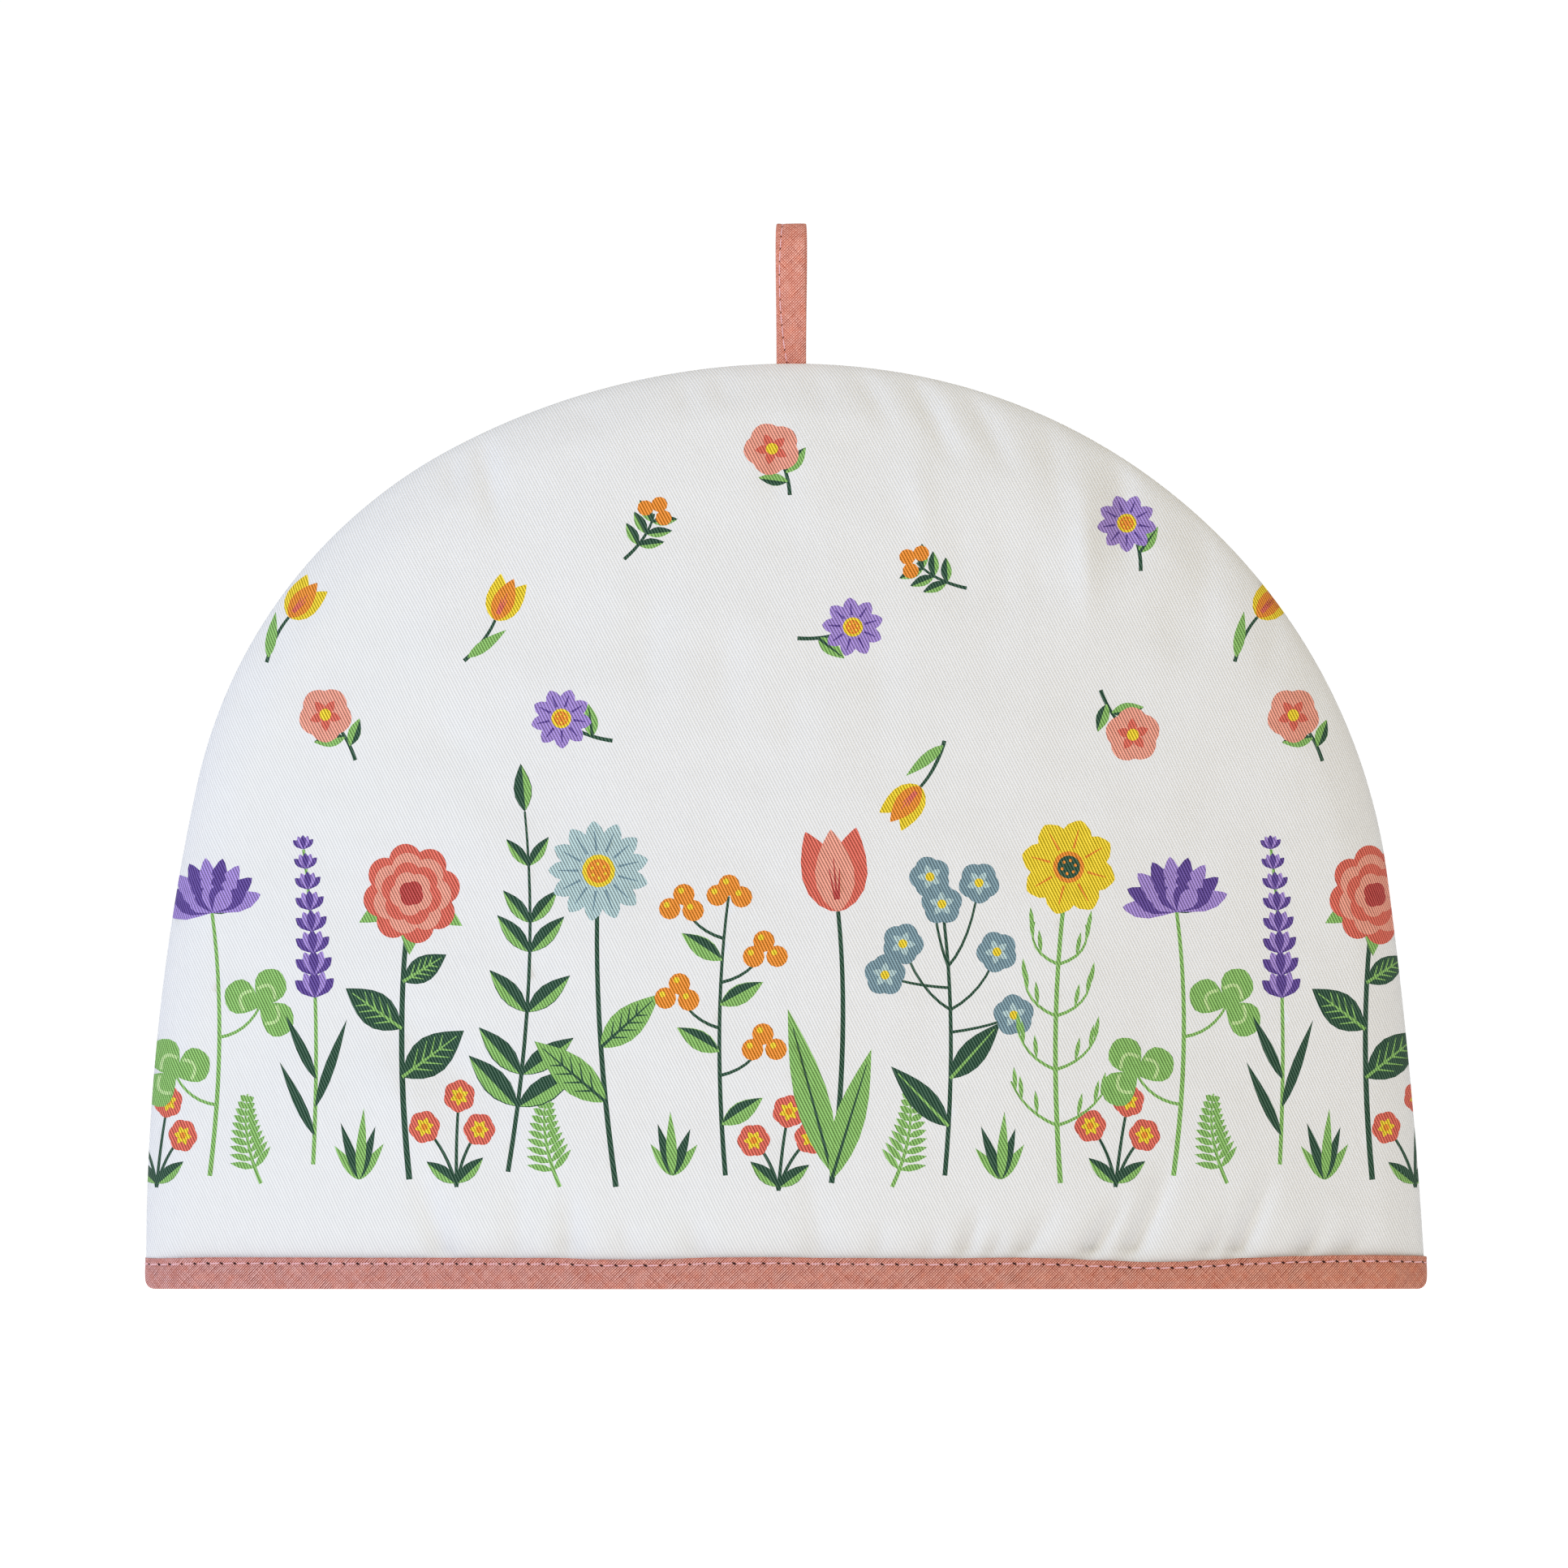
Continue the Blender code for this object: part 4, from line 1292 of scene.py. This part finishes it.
def tape_section(side, faces, turns):
    """Rows from inside the fold, over the top edge and down: side, depth, share of height, turn below."""
    rows = [(side, 0.0, share, None) for share in HIDDEN_ROWS]
    for angle in (pi * step / turns for step in range(turns + 1)):
        rows.append((side, 0.5 - 0.5 * cos(angle), FOLD_START + FOLD_RISE * sin(angle), None))
    rows += [(side, 1.0, share, None) for share in faces]
    return rows + [(side, 1.0, 0.0, pi / 2 * step / 3) for step in range(4)]


def tape_point(side, depth, share, turn, station, stitched=True):
    """Offset off the panel and height of a section row at one station of the hem."""
    spot, along = HEM_BASE[side][station], station / HEM_STATIONS
    tight = TIGHT_LEAST + (1 - TIGHT_LEAST) * soft_step((HALF_HEM - abs(spot.x)) / TIGHT_RUN)
    top = tape_top(spot.x, spot.y)
    offset = (TAPE_GAP + depth * TAPE) * tight
    z = top * share
    if turn is not None:
        offset -= FOLD_RADIUS * (1 - cos(turn))
        z = FOLD_RADIUS * (1 - sin(turn))
    elif depth == 1.0 and stitched:
        stitch_z = top - STITCH_DROP
        groove = bell(z - stitch_z, GROOVE_WIDTH)
        puff = sin(pi * min(max(z / stitch_z, 0.0), 1.0)) * TAPE_PUFF
        ruck_at = Vector((along * RUCK_ALONG + z * RUCK_SLANT, z * RUCK_UP, RUCK_SEEDS[side]))
        ruck = noise.noise(ruck_at) * TAPE_RUCK
        dimple = bell(from_hole(along * STITCHES, STITCH_PITCH), HOLE_WIDTH) * groove
        offset += tight * (puff + ruck - TAPE_GROOVE * groove - TAPE_DIMPLE * dimple)
    return offset, z


def tape_place(side, depth, share, turn, station):
    offset, z = tape_point(side, depth, share, turn, station)
    spot = HEM_BASE[side][station].lerp(HEM_OFF[side][station], offset / MM)
    return Vector((spot.x, spot.y, z + corner_lift(spot.x, z)))


def lengths_along(points):
    """Distance along a line of pairs, at each of its points."""
    run = [0.0]
    for low, high in zip(points, points[1:]):
        run.append(run[-1] + hypot(high[0] - low[0], high[1] - low[1]))
    return run


# %% Skin of the tape
GRID_WELD = 1e-7
OUTER_TURNS, INNER_TURNS = 5, 3


def wrapped_grid(places, cloth_places, stitch_places):
    """A grid laid on rows of places and closed on itself, with its flat cloth and stitch UV maps."""
    rows, columns = len(places) - 1, len(places[0]) - 1
    bm = bmesh.new()
    bmesh.ops.create_grid(bm, x_segments=columns, y_segments=rows, size=0.5)
    cloth, stitch = bm.loops.layers.uv.new("Cloth"), bm.loops.layers.uv.new("Stitch")
    spots = {vert: (round((vert.co.y + 0.5) * rows), round((vert.co.x + 0.5) * columns))
             for vert in bm.verts}
    for face in bm.faces:
        for loop in face.loops:
            row, column = spots[loop.vert]
            loop[cloth].uv = cloth_places[row][column]
            loop[stitch].uv = stitch_places[row][column]
    for vert, (row, column) in spots.items():
        vert.co = places[row][column]
    bmesh.ops.remove_doubles(bm, verts=bm.verts, dist=GRID_WELD)
    return bm


def make_tape_ring():
    section = tape_section("outer", OUTSIDE_ROWS, OUTER_TURNS)
    bottom = len(section) - 1
    section += tape_section("inner", INSIDE_ROWS, INNER_TURNS)[::-1]
    section += section[:1]
    places, cloth_places, stitch_places = [], [], []
    for station in range(HEM_STATIONS + 1):
        here, along = station % HEM_STATIONS, station / HEM_STATIONS
        smooth = [tape_point(*row, here, stitched=False) for row in section]
        run = lengths_along(smooth)
        top = tape_top(*HEM_BASE["outer"][here])
        places.append([tape_place(*row, here) for row in section])
        cloth_places.append([(along * HEM_LENGTH, run[bottom] - length) for length in run])
        stitch_places.append([(along * STITCHES, (z - top + STITCH_DROP) / MM if row[1] == 1.0 else FAR_OFF)
                              for row, (_, z) in zip(section, smooth)])
    return wrapped_grid(places, cloth_places, stitch_places)


hem_tape = finish_piece("hem_tape", make_tape_ring())

# %% [markdown]
# ## The hanging loop
#
# The loop is the same tape folded in half along its length and stitched shut down one side, then
# doubled over so that its two ends meet in the seam. Seen from the front it is a flat strap, and
# from the side a narrow drop. A strap section is swept along that drop, ring by ring.

# %% Path of the loop
LOOP_LOW, LOOP_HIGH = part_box("hanging_loop")
LOOP_X = 1.4 * MM
LOOP_WIDTH = 7.9 * MM
LOOP_RISE = LOOP_HIGH.z - DOME_HEIGHT
LOOP_BELLY, LOOP_TAPER = 7.6 * MM, 1.4
LOOP_TWIST = radians(-3.5)
STRAND = 1.0 * MM
STRAP_PITCH = 3.4 * MM
LEG_STEPS = 60
LEG_BEND = 3 * MM
RING_SPACING = 0.7 * MM


def loop_path():
    """Middle of the strap from one foot in the seam, over the top, to the other, as (y, z)."""
    half = (LOOP_RISE - STRAND / 2) / 2
    leg = [Vector((STRAND / 2, LOOP_LOW.z)), Vector((STRAND / 2, DOME_HEIGHT - LEG_BEND))]
    for angle in (pi * step / LEG_STEPS for step in range(LEG_STEPS + 1)):
        y = LOOP_BELLY * sin(angle) * sin(angle / 2) ** LOOP_TAPER
        leg.append(Vector((max(y, STRAND / 2), DOME_HEIGHT + half - half * cos(angle))))
    leg[-1].x = 0.0
    path = leg + [Vector((-spot.x, spot.y)) for spot in reversed(leg[:-1])]
    length = sum((b - a).length for a, b in zip(path, path[1:]))
    return resampled(path, round(length / RING_SPACING)), length


LOOP_PATH, LOOP_LENGTH = loop_path()
LAST_RING = len(LOOP_PATH) - 1
print("strap length in mm:", round(LOOP_LENGTH / MM, 1))

# %% Strap section and skin
STRAP_ROWS = (0.04, 0.08, 0.12, 0.16, 0.2, 0.24, 0.28, 0.32, 0.36, 0.4, 0.45, 0.5, 0.58, 0.68, 0.78,
              0.88, 0.97)
EDGE_SLIT = 0.25 * MM
STRAP_GROOVE, STRAP_DIMPLE, STRAP_PUFF = 0.16 * MM, 0.14 * MM, 0.09 * MM
PUFF_LONG, PUFF_WIDE, PUFF_SEED = 7 * MM, 4 * MM, 3.0
STITCH_INSET, STITCH_SWAY = 1.1 * MM, 1.85 * MM
SWAY_POWER, SWAY_RUN = 0.85, 1.25
BEND_STEPS, BEND_POWER = 8, 0.6


def strap_section():
    """Points round the strap: across its width, and its thickness, folded on the left."""
    half, thick = LOOP_WIDTH / 2, TAPE / 2
    angles = [pi * step / BEND_STEPS for step in range(BEND_STEPS + 1)]
    bend = [(-half + thick * (1 - sin(a) ** BEND_POWER), thick * cos(a)) for a in angles]
    under = [(-half + thick + (2 * half - 1.5 * thick) * share, -thick) for share in STRAP_ROWS]
    edge = [(half - (0.0 if rise else EDGE_SLIT), thick * rise) for rise in (-0.75, -0.2, 0.0, 0.2, 0.75)]
    return bend + under + edge + [(x, -y) for x, y in reversed(under)]


def strap_stitch(index):
    """Where the stitching runs across the strap, left of its middle, at one of its rings."""
    share = min(max((LOOP_PATH[index].y - DOME_HEIGHT) / LOOP_RISE, 0.0), 1.0)
    return -STITCH_INSET - STITCH_SWAY * sin(pi * share ** SWAY_POWER / SWAY_RUN)


def strap_point(index, x, y):
    """A point of the strap: ring, place across, and height off the middle of the tape."""
    spot = LOOP_PATH[index]
    before, after = around(LOOP_PATH, index)
    run = (after - before).normalized()
    up = Vector((run.y, -run.x)) * y
    turn = LOOP_TWIST * max(spot.y - DOME_HEIGHT, 0.0) / LOOP_RISE
    depth = spot.x + up.x
    return Vector((LOOP_X + x * cos(turn) - depth * sin(turn),
                   x * sin(turn) + depth * cos(turn), spot.y + up.y))


def make_strap():
    section = strap_section()
    section += section[:1]
    run = lengths_along(section)
    places, cloth_places, stitch_places = [], [], []
    for index in range(LAST_RING + 1):
        along = LOOP_LENGTH * index / LAST_RING
        stitch = strap_stitch(index)
        hole = bell(from_hole(along / STRAP_PITCH, STRAP_PITCH), HOLE_WIDTH)
        ring = []
        for x, y in section:
            groove = bell(x - stitch, GROOVE_WIDTH)
            puff = STRAP_PUFF * noise.noise(Vector((along / PUFF_LONG, x / PUFF_WIDE, PUFF_SEED)))
            lift = (puff - STRAP_GROOVE * groove - STRAP_DIMPLE * groove * hole) * (1 if y > 0 else -1)
            ring.append(strap_point(index, x, y + lift))
        places.append(ring)
        cloth_places.append([(along, length) for length in run])
        stitch_places.append([(along / STRAP_PITCH, (x - stitch) / MM) for x, _ in section])
    bm = wrapped_grid(places, cloth_places, stitch_places)
    bmesh.ops.holes_fill(bm, edges=[edge for edge in bm.edges if edge.is_boundary], sides=0)
    return bm


loop_strap = finish_piece("loop_strap", make_strap())

# %% [markdown]
# ## Pink cross-hatched tape cloth
#
# The tape is a plain weave of pale and rose threads, cut on the bias, so its threads cross the
# tape at 45 degrees both ways. Thread crowns are pale, their flanks rose, and the gaps where four
# threads meet get a deep red painted shade. Now one set of threads leads and now the other. Along
# the hem the colour runs from a cooler, pinker rose at the left end to orange at the right, painted
# light of the cool lamp on the left. Where a needle went in, the cloth is pulled into a slanting
# hole, darkened with painted shade, which the shader places with the second UV map: stitches
# along, and millimetres off the line.

# %% Colours and measures of the tape
THREAD_PITCH = 0.52 * MM
# The gap colour is painted shade where four threads meet.
TAPE_GAP_SHADE = (0.130, 0.014, 0.010, 1.0)
TAPE_ROSE = (0.560, 0.190, 0.130, 1.0)
TAPE_PALE = (0.930, 0.640, 0.560, 1.0)
TAPE_AMBER = (1.080, 0.696, 0.480, 1.0)
# The hole colour is painted shade in the needle holes.
HOLE_SHADE = (0.030, 0.006, 0.008, 1.0)
HOLE_LONG, HOLE_WIDE, HOLE_SLANT = 0.50, 0.27, 0.35
HOLE_LEAST, HOLE_SPREAD, HOLE_SUNK = 0.80, 0.35, -3.0
SLUB_SCALE, LEAD_SCALE, PATCH_SCALE, AMBER_SCALE = 0.8, 150.0, 330.0, 420.0
SLUB_LENGTH, SLUB_SHIFT, SLUB_TONE = 4.0 * MM, 0.6, 0.35
LEAD_GAIN, LEAD_BASE, OVER_SHARE = 1.1, 0.08, 0.12
PATCH_GAIN, PATCH_BASE, MIDDLE_TONE = 0.9, 0.55, 0.52
GAP_SHADE_STOP, ROSE_STOP, PALE_STOP = 0.10, 0.40, 0.98
AMBER_FROM, AMBER_TO, AMBER_MOST = 0.42, 0.75, 0.45
HOLE_OUTER, HOLE_INNER = 1.15, 0.75
TapeLook = namedtuple("TapeLook", "name left_dye right_dye hole_size contrast")
# On the hem the tint runs from cool at the left end to warm at the right, painted light of the cool lamp on
# the left. The loop's tint is the same at both ends.
HEM_LOOK = TapeLook("hem_tape_cloth", (0.885, 0.855, 0.985, 1.0), (0.905, 0.765, 0.670, 1.0), 1.0, 1.0)
LOOP_LOOK = TapeLook("loop_tape_cloth", (1.050, 0.935, 0.920, 1.0), (1.050, 0.935, 0.920, 1.0), 0.62, 0.72)
print("tape threads in 10 mm:", round(10 * MM / THREAD_PITCH))


# %% Tape material
def thread_lines(tree, lean):
    """Across one set of threads, counted, with a little thick and thin."""
    across = weave_place(tree, (cos(lean), sin(lean)), THREAD_PITCH)
    along = weave_place(tree, (-sin(lean), cos(lean)), SLUB_LENGTH)
    yarn = noise_of(tree, joined(tree, across, along), SLUB_SCALE)
    return yarn.times_plus(SLUB_SHIFT, across), yarn


def needle_hole(tree, size):
    """1 in the middle of a needle hole, 0 away from it. The needle opens some holes wider than others."""
    count, off_line, _ = axes_of(tree, uv_place(tree, "Stitch"))
    counted = count + 0.5
    beat = counted.math('FRACT') - 0.5
    chance = add_node(tree, "ShaderNodeTexWhiteNoise", {"W": counted.math('FLOOR')}, noise_dimensions='1D')
    opened = Field(chance, "Value").times_plus(HOLE_SPREAD * size, HOLE_LEAST * size)
    along = beat * (STITCH_PITCH / MM)
    aslant = along.times_plus(HOLE_SLANT, off_line)
    away = (along / HOLE_LONG).math('POWER', 2.0) + (aslant / HOLE_WIDE).math('POWER', 2.0)
    return ranged(tree, away.math('SQRT') / opened, HOLE_OUTER, HOLE_INNER)


def tape_material(look):
    material, tree, shader = new_material(look.name, roughness=0.84, sheen=0.08)
    first, first_yarn = thread_lines(tree, radians(-45))
    second, second_yarn = thread_lines(tree, radians(45))
    place = uv_place(tree, "Cloth")
    lead = noise_of(tree, place, LEAD_SCALE, 1.0).times_plus(LEAD_GAIN, LEAD_BASE)
    second_wave = cosine_of(second)
    crowns = (cosine_of(first) - second_wave).times_plus(lead, second_wave)
    over = (first * pi).math('COSINE') * (second * pi).math('COSINE')
    height = over.times_plus(OVER_SHARE, crowns)
    patches = noise_of(tree, place, PATCH_SCALE)
    contrast = patches.times_plus(PATCH_GAIN * look.contrast, PATCH_BASE * look.contrast)
    relief = (height - 0.5).times_plus(contrast, MIDDLE_TONE)
    shade_and_yarn_tone = (first_yarn + second_yarn - 1.0).times_plus(SLUB_TONE, relief)
    # Painted shade: the ramp darkens the tape with the weave's depth, down to deep red in the gaps.
    ramp = add_node(tree, "ShaderNodeValToRGB", {"Fac": shade_and_yarn_tone})
    stops = ramp.color_ramp.elements
    stops[0].position, stops[0].color = GAP_SHADE_STOP, TAPE_GAP_SHADE
    stops[1].position, stops[1].color = PALE_STOP, TAPE_PALE
    stops.new(ROSE_STOP).color = TAPE_ROSE
    warm = ranged(tree, noise_of(tree, place, AMBER_SCALE), AMBER_FROM, AMBER_TO, AMBER_MOST)
    amber = mixed(tree, 1.0, Field(ramp), TAPE_AMBER, 'MULTIPLY')
    # Painted light: the hem tape is tinted cool at the left end and warm at the right.
    across = ranged(tree, axes_of(tree, object_place(tree))[0], -HALF_HEM, HALF_HEM)
    tint_and_painted_light = mixed(tree, across, look.left_dye, look.right_dye)
    colour = mixed(tree, 1.0, mixed(tree, warm, Field(ramp), amber), tint_and_painted_light, 'MULTIPLY')
    hole = needle_hole(tree, look.hole_size)
    # Painted shade: the needle holes are filled with near black.
    colour = mixed(tree, hole, colour, HOLE_SHADE)
    dress(tree, shader, colour, hole.times_plus(HOLE_SUNK, height), strength=0.5, distance=0.1 * MM)
    return material


hem_tape.data.materials.append(tape_material(HEM_LOOK))
loop_strap.data.materials.append(tape_material(LOOP_LOOK))
print("tape cloth on", hem_tape.name, "and", loop_strap.name)

# %% [markdown]
# ## Stitches
#
# Machine topstitching shows as short pale strokes that dive into needle holes, whose dark is
# painted shade in the tape's colour. One stitch is a small rounded bead of fifty faces, copied
# along its row and joined into one piece, so that hundreds of them stay light.

# %% A stitch and its copies
THREAD = 0.38 * MM
STRAP_THREAD = 0.32 * MM
STITCH_TILT = 0.12 * MM
STRAP_SUNK = (0.3 * MM, 0.16 * MM)
THREAD_DIVE = 0.05
THREAD_PROUD, THREAD_SUNK = 0.55, 0.35
THREAD_TIP, THREAD_FLAT, ARCH_POWER = 0.45, 0.75, 0.45
BEAD_RINGS, BEAD_SIDES = 8, 6


def add_stitch(bm, start, crown, end, out, thread):
    """A bead of thread that comes out of one needle hole, lies on the cloth and goes into the next."""
    run = end - start
    side = run.cross(out).normalized()
    up = side.cross(run).normalized()
    rise = (crown - (start + end) / 2).dot(up)
    rings = []
    for share in (step / BEAD_RINGS for step in range(BEAD_RINGS + 1)):
        arch = sin(pi * share) ** ARCH_POWER
        lift = (rise + thread * THREAD_PROUD) * arch - thread * THREAD_SUNK
        centre = start + run * share + up * lift
        wide = thread / 2 * (THREAD_TIP + (1 - THREAD_TIP) * arch)
        rings.append([bm.verts.new(centre + side * (cos(a) * wide) + up * (sin(a) * wide * THREAD_FLAT))
                      for a in (2 * pi * k / BEAD_SIDES for k in range(BEAD_SIDES))])
    for low, high in zip(rings, rings[1:]):
        for k in range(BEAD_SIDES):
            bm.faces.new((low[k], low[k - 1], high[k - 1], high[k]))
    bm.faces.new(rings[0])
    bm.faces.new(rings[-1][::-1])


def stitch_spot(side, station):
    """The tape's skin on the stitching line, and the way off it."""
    station %= HEM_STATIONS
    base, off = HEM_BASE[side][station], HEM_OFF[side][station]
    top = tape_top(*base)
    place = tape_place(side, 1.0, (top - STITCH_DROP) / top, None, station)
    return place, Vector((*(off - base), 0.0)) / MM


def hem_stitch_row(side):
    """Stitches along one face of the tape, from hole to hole, each tilted a little."""
    bm = bmesh.new()
    tilt = Vector((0, 0, STITCH_TILT))
    for index in range(STITCHES):
        stations = [index * STATIONS_A_STITCH + share * STATIONS_A_STITCH // 2 for share in (0, 1, 2)]
        (start, _), (crown, out), (end, _) = [stitch_spot(side, station) for station in stations]
        dive = (end - start) * THREAD_DIVE
        add_stitch(bm, start + dive - tilt, crown, end - dive + tilt, out, THREAD)
    return bm


def strap_stitch_row():
    """Stitches down both faces of the strap, a little sunk where the thread dives."""
    bm = bmesh.new()
    for face in (1, -1):
        spots = []
        for half in range(2 * int(LOOP_LENGTH / STRAP_PITCH) + 1):
            index = round(half / 2 * STRAP_PITCH / LOOP_LENGTH * LAST_RING)
            x, off = strap_stitch(index), face * (TAPE / 2 - STRAP_SUNK[half % 2])
            spots.append((strap_point(index, x, off), strap_point(index, x, off + face * MM)))
        for (start, _), (crown, up), (end, _) in zip(spots[::2], spots[1::2], spots[2::2]):
            dive = (end - start) * THREAD_DIVE
            add_stitch(bm, start + dive, crown, end - dive, (up - crown).normalized(), STRAP_THREAD)
    return bm


hem_stitches = finish_piece("hem_stitches", hem_stitch_row("outer"))
inside_stitches = finish_piece("inside_stitches", hem_stitch_row("inner"))
loop_stitches = finish_piece("loop_stitches", strap_stitch_row())

# %% Thread material
THREAD_DEEP, THREAD_PALE = (0.74, 0.36, 0.41, 1.0), (0.92, 0.64, 0.69, 1.0)
TWIST_SCALE = 2600.0
stitch_thread, tree, shader = new_material("stitch_thread", roughness=0.6, sheen=0.2)
twist = noise_of(tree, object_place(tree), TWIST_SCALE)
dress(tree, shader, mixed(tree, twist, THREAD_DEEP, THREAD_PALE))
for piece in (hem_stitches, inside_stitches, loop_stitches):
    piece.data.materials.append(stitch_thread)
print("thread on", hem_stitches.name, "and", loop_stitches.name)

# %% [markdown]
# ## Floor and light
#
# The picture is a bright, almost shadowless studio shot on pure white. A cool soft lamp rakes in
# from the left and a warmer one hangs above, so that the right side of the cloth turns cream. A
# floor that glows a little keeps its own shadow from showing. The surround works like large
# white cards: full white behind the cosy, a dim warm one in front, or it would wash out every
# crease, and a narrow one at each side, whose spread is the power that its cosine is raised to.

# %% Floor
FLOOR_RADIUS = 12.0
FLOOR_SIDES, FLOOR_PATCHES = 96, 3.0
FLOOR_GLOW = 1.0
FLOOR_DARK, FLOOR_PALE = (0.24, 0.24, 0.24, 1.0), (0.26, 0.26, 0.26, 1.0)
bm = bmesh.new()
bmesh.ops.create_circle(bm, cap_ends=True, segments=FLOOR_SIDES, radius=FLOOR_RADIUS)
floor = hang("floor", bm)
floor_paint, tree, shader = new_material("floor_paint", roughness=0.9, sheen=0.0)
patches = noise_of(tree, object_place(tree), FLOOR_PATCHES)
dress(tree, shader, mixed(tree, patches, FLOOR_DARK, FLOOR_PALE))
shader.inputs["Emission Color"].default_value = (1.0, 1.0, 1.0, 1.0)
shader.inputs["Emission Strength"].default_value = FLOOR_GLOW
floor.data.materials.append(floor_paint)
print("floor radius in m:", FLOOR_RADIUS)

# %% Lights
Lamp = namedtuple("Lamp", "name size power colour place")
LAMPS = [
    Lamp("key_light", 1.0, 29.5, (0.39, 0.58, 0.98), (-2.2, -1.5, 1.5)),
    Lamp("top_light", 1.2, 22.5, (1.0, 0.93, 0.70), (0.0, -1.2, 2.4)),
]
LAMP_AIM = Vector((0, 0, 0.12))
for lamp in LAMPS:
    data = bpy.data.lights.new(lamp.name, 'AREA')
    data.size, data.energy, data.color = lamp.size, lamp.power, lamp.colour
    look_at(into_scene(lamp.name, data), lamp.place, LAMP_AIM)
print("lamps:", [lamp.name for lamp in LAMPS])

# %% Surround
Wall = namedtuple("Wall", "name axis sign spread colour")
WALLS = [
    Wall("behind", 1, 1, 1.0, (1.03, 1.03, 1.03, 1.0)),
    Wall("in front", 1, -1, 1.0, (0.71, 0.65, 0.56, 1.0)),
    Wall("left", 0, -1, 12.0, (0.70, 0.70, 0.70, 1.0)),
    Wall("right", 0, 1, 12.0, (0.12, 0.11, 0.08, 1.0)),
]
world = bpy.data.worlds.new("studio")
bpy.context.scene.world = world
world.use_nodes = True
surround = world.node_tree
facing = axes_of(surround, Field(add_node(surround, "ShaderNodeTexCoord", {}), "Generated"))
light = (0.0, 0.0, 0.0, 1.0)
for wall in WALLS:
    share = (facing[wall.axis] * wall.sign).math('MAXIMUM', 0.0).math('POWER', wall.spread)
    card = mixed(surround, 1.0, wall.colour, grey_of(surround, share), 'MULTIPLY')
    light = mixed(surround, 1.0, light, card, 'ADD')
surround.links.new(light.socket, surround.nodes["Background"].inputs["Color"])
bpy.context.scene.view_settings.view_transform = 'Standard'
print("walls of light:", [wall.name for wall in WALLS])

# %% [markdown]
# ## Fit the pieces to the frame
#
# Each dressed piece rides on the one body, and the solid it stands for is hidden.
# The covers are padded forms, and the tape and strap are sheets cut from flat tape.

# %% Ride and replace
SLOTS = {
    front_cover: ("front_panel", "printed_cotton"),
    back_cover: ("back_panel", "printed_cotton"),
    hem_tape: ("hem_binding", "pink_tape"),
    loop_strap: ("hanging_loop", "pink_tape"),
    hem_stitches: (None, "pink_tape"),
    inside_stitches: (None, "pink_tape"),
    loop_stitches: (None, "pink_tape"),
}
for piece, (node, slot) in SLOTS.items():
    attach(piece, "root")
    if node:
        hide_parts(node)
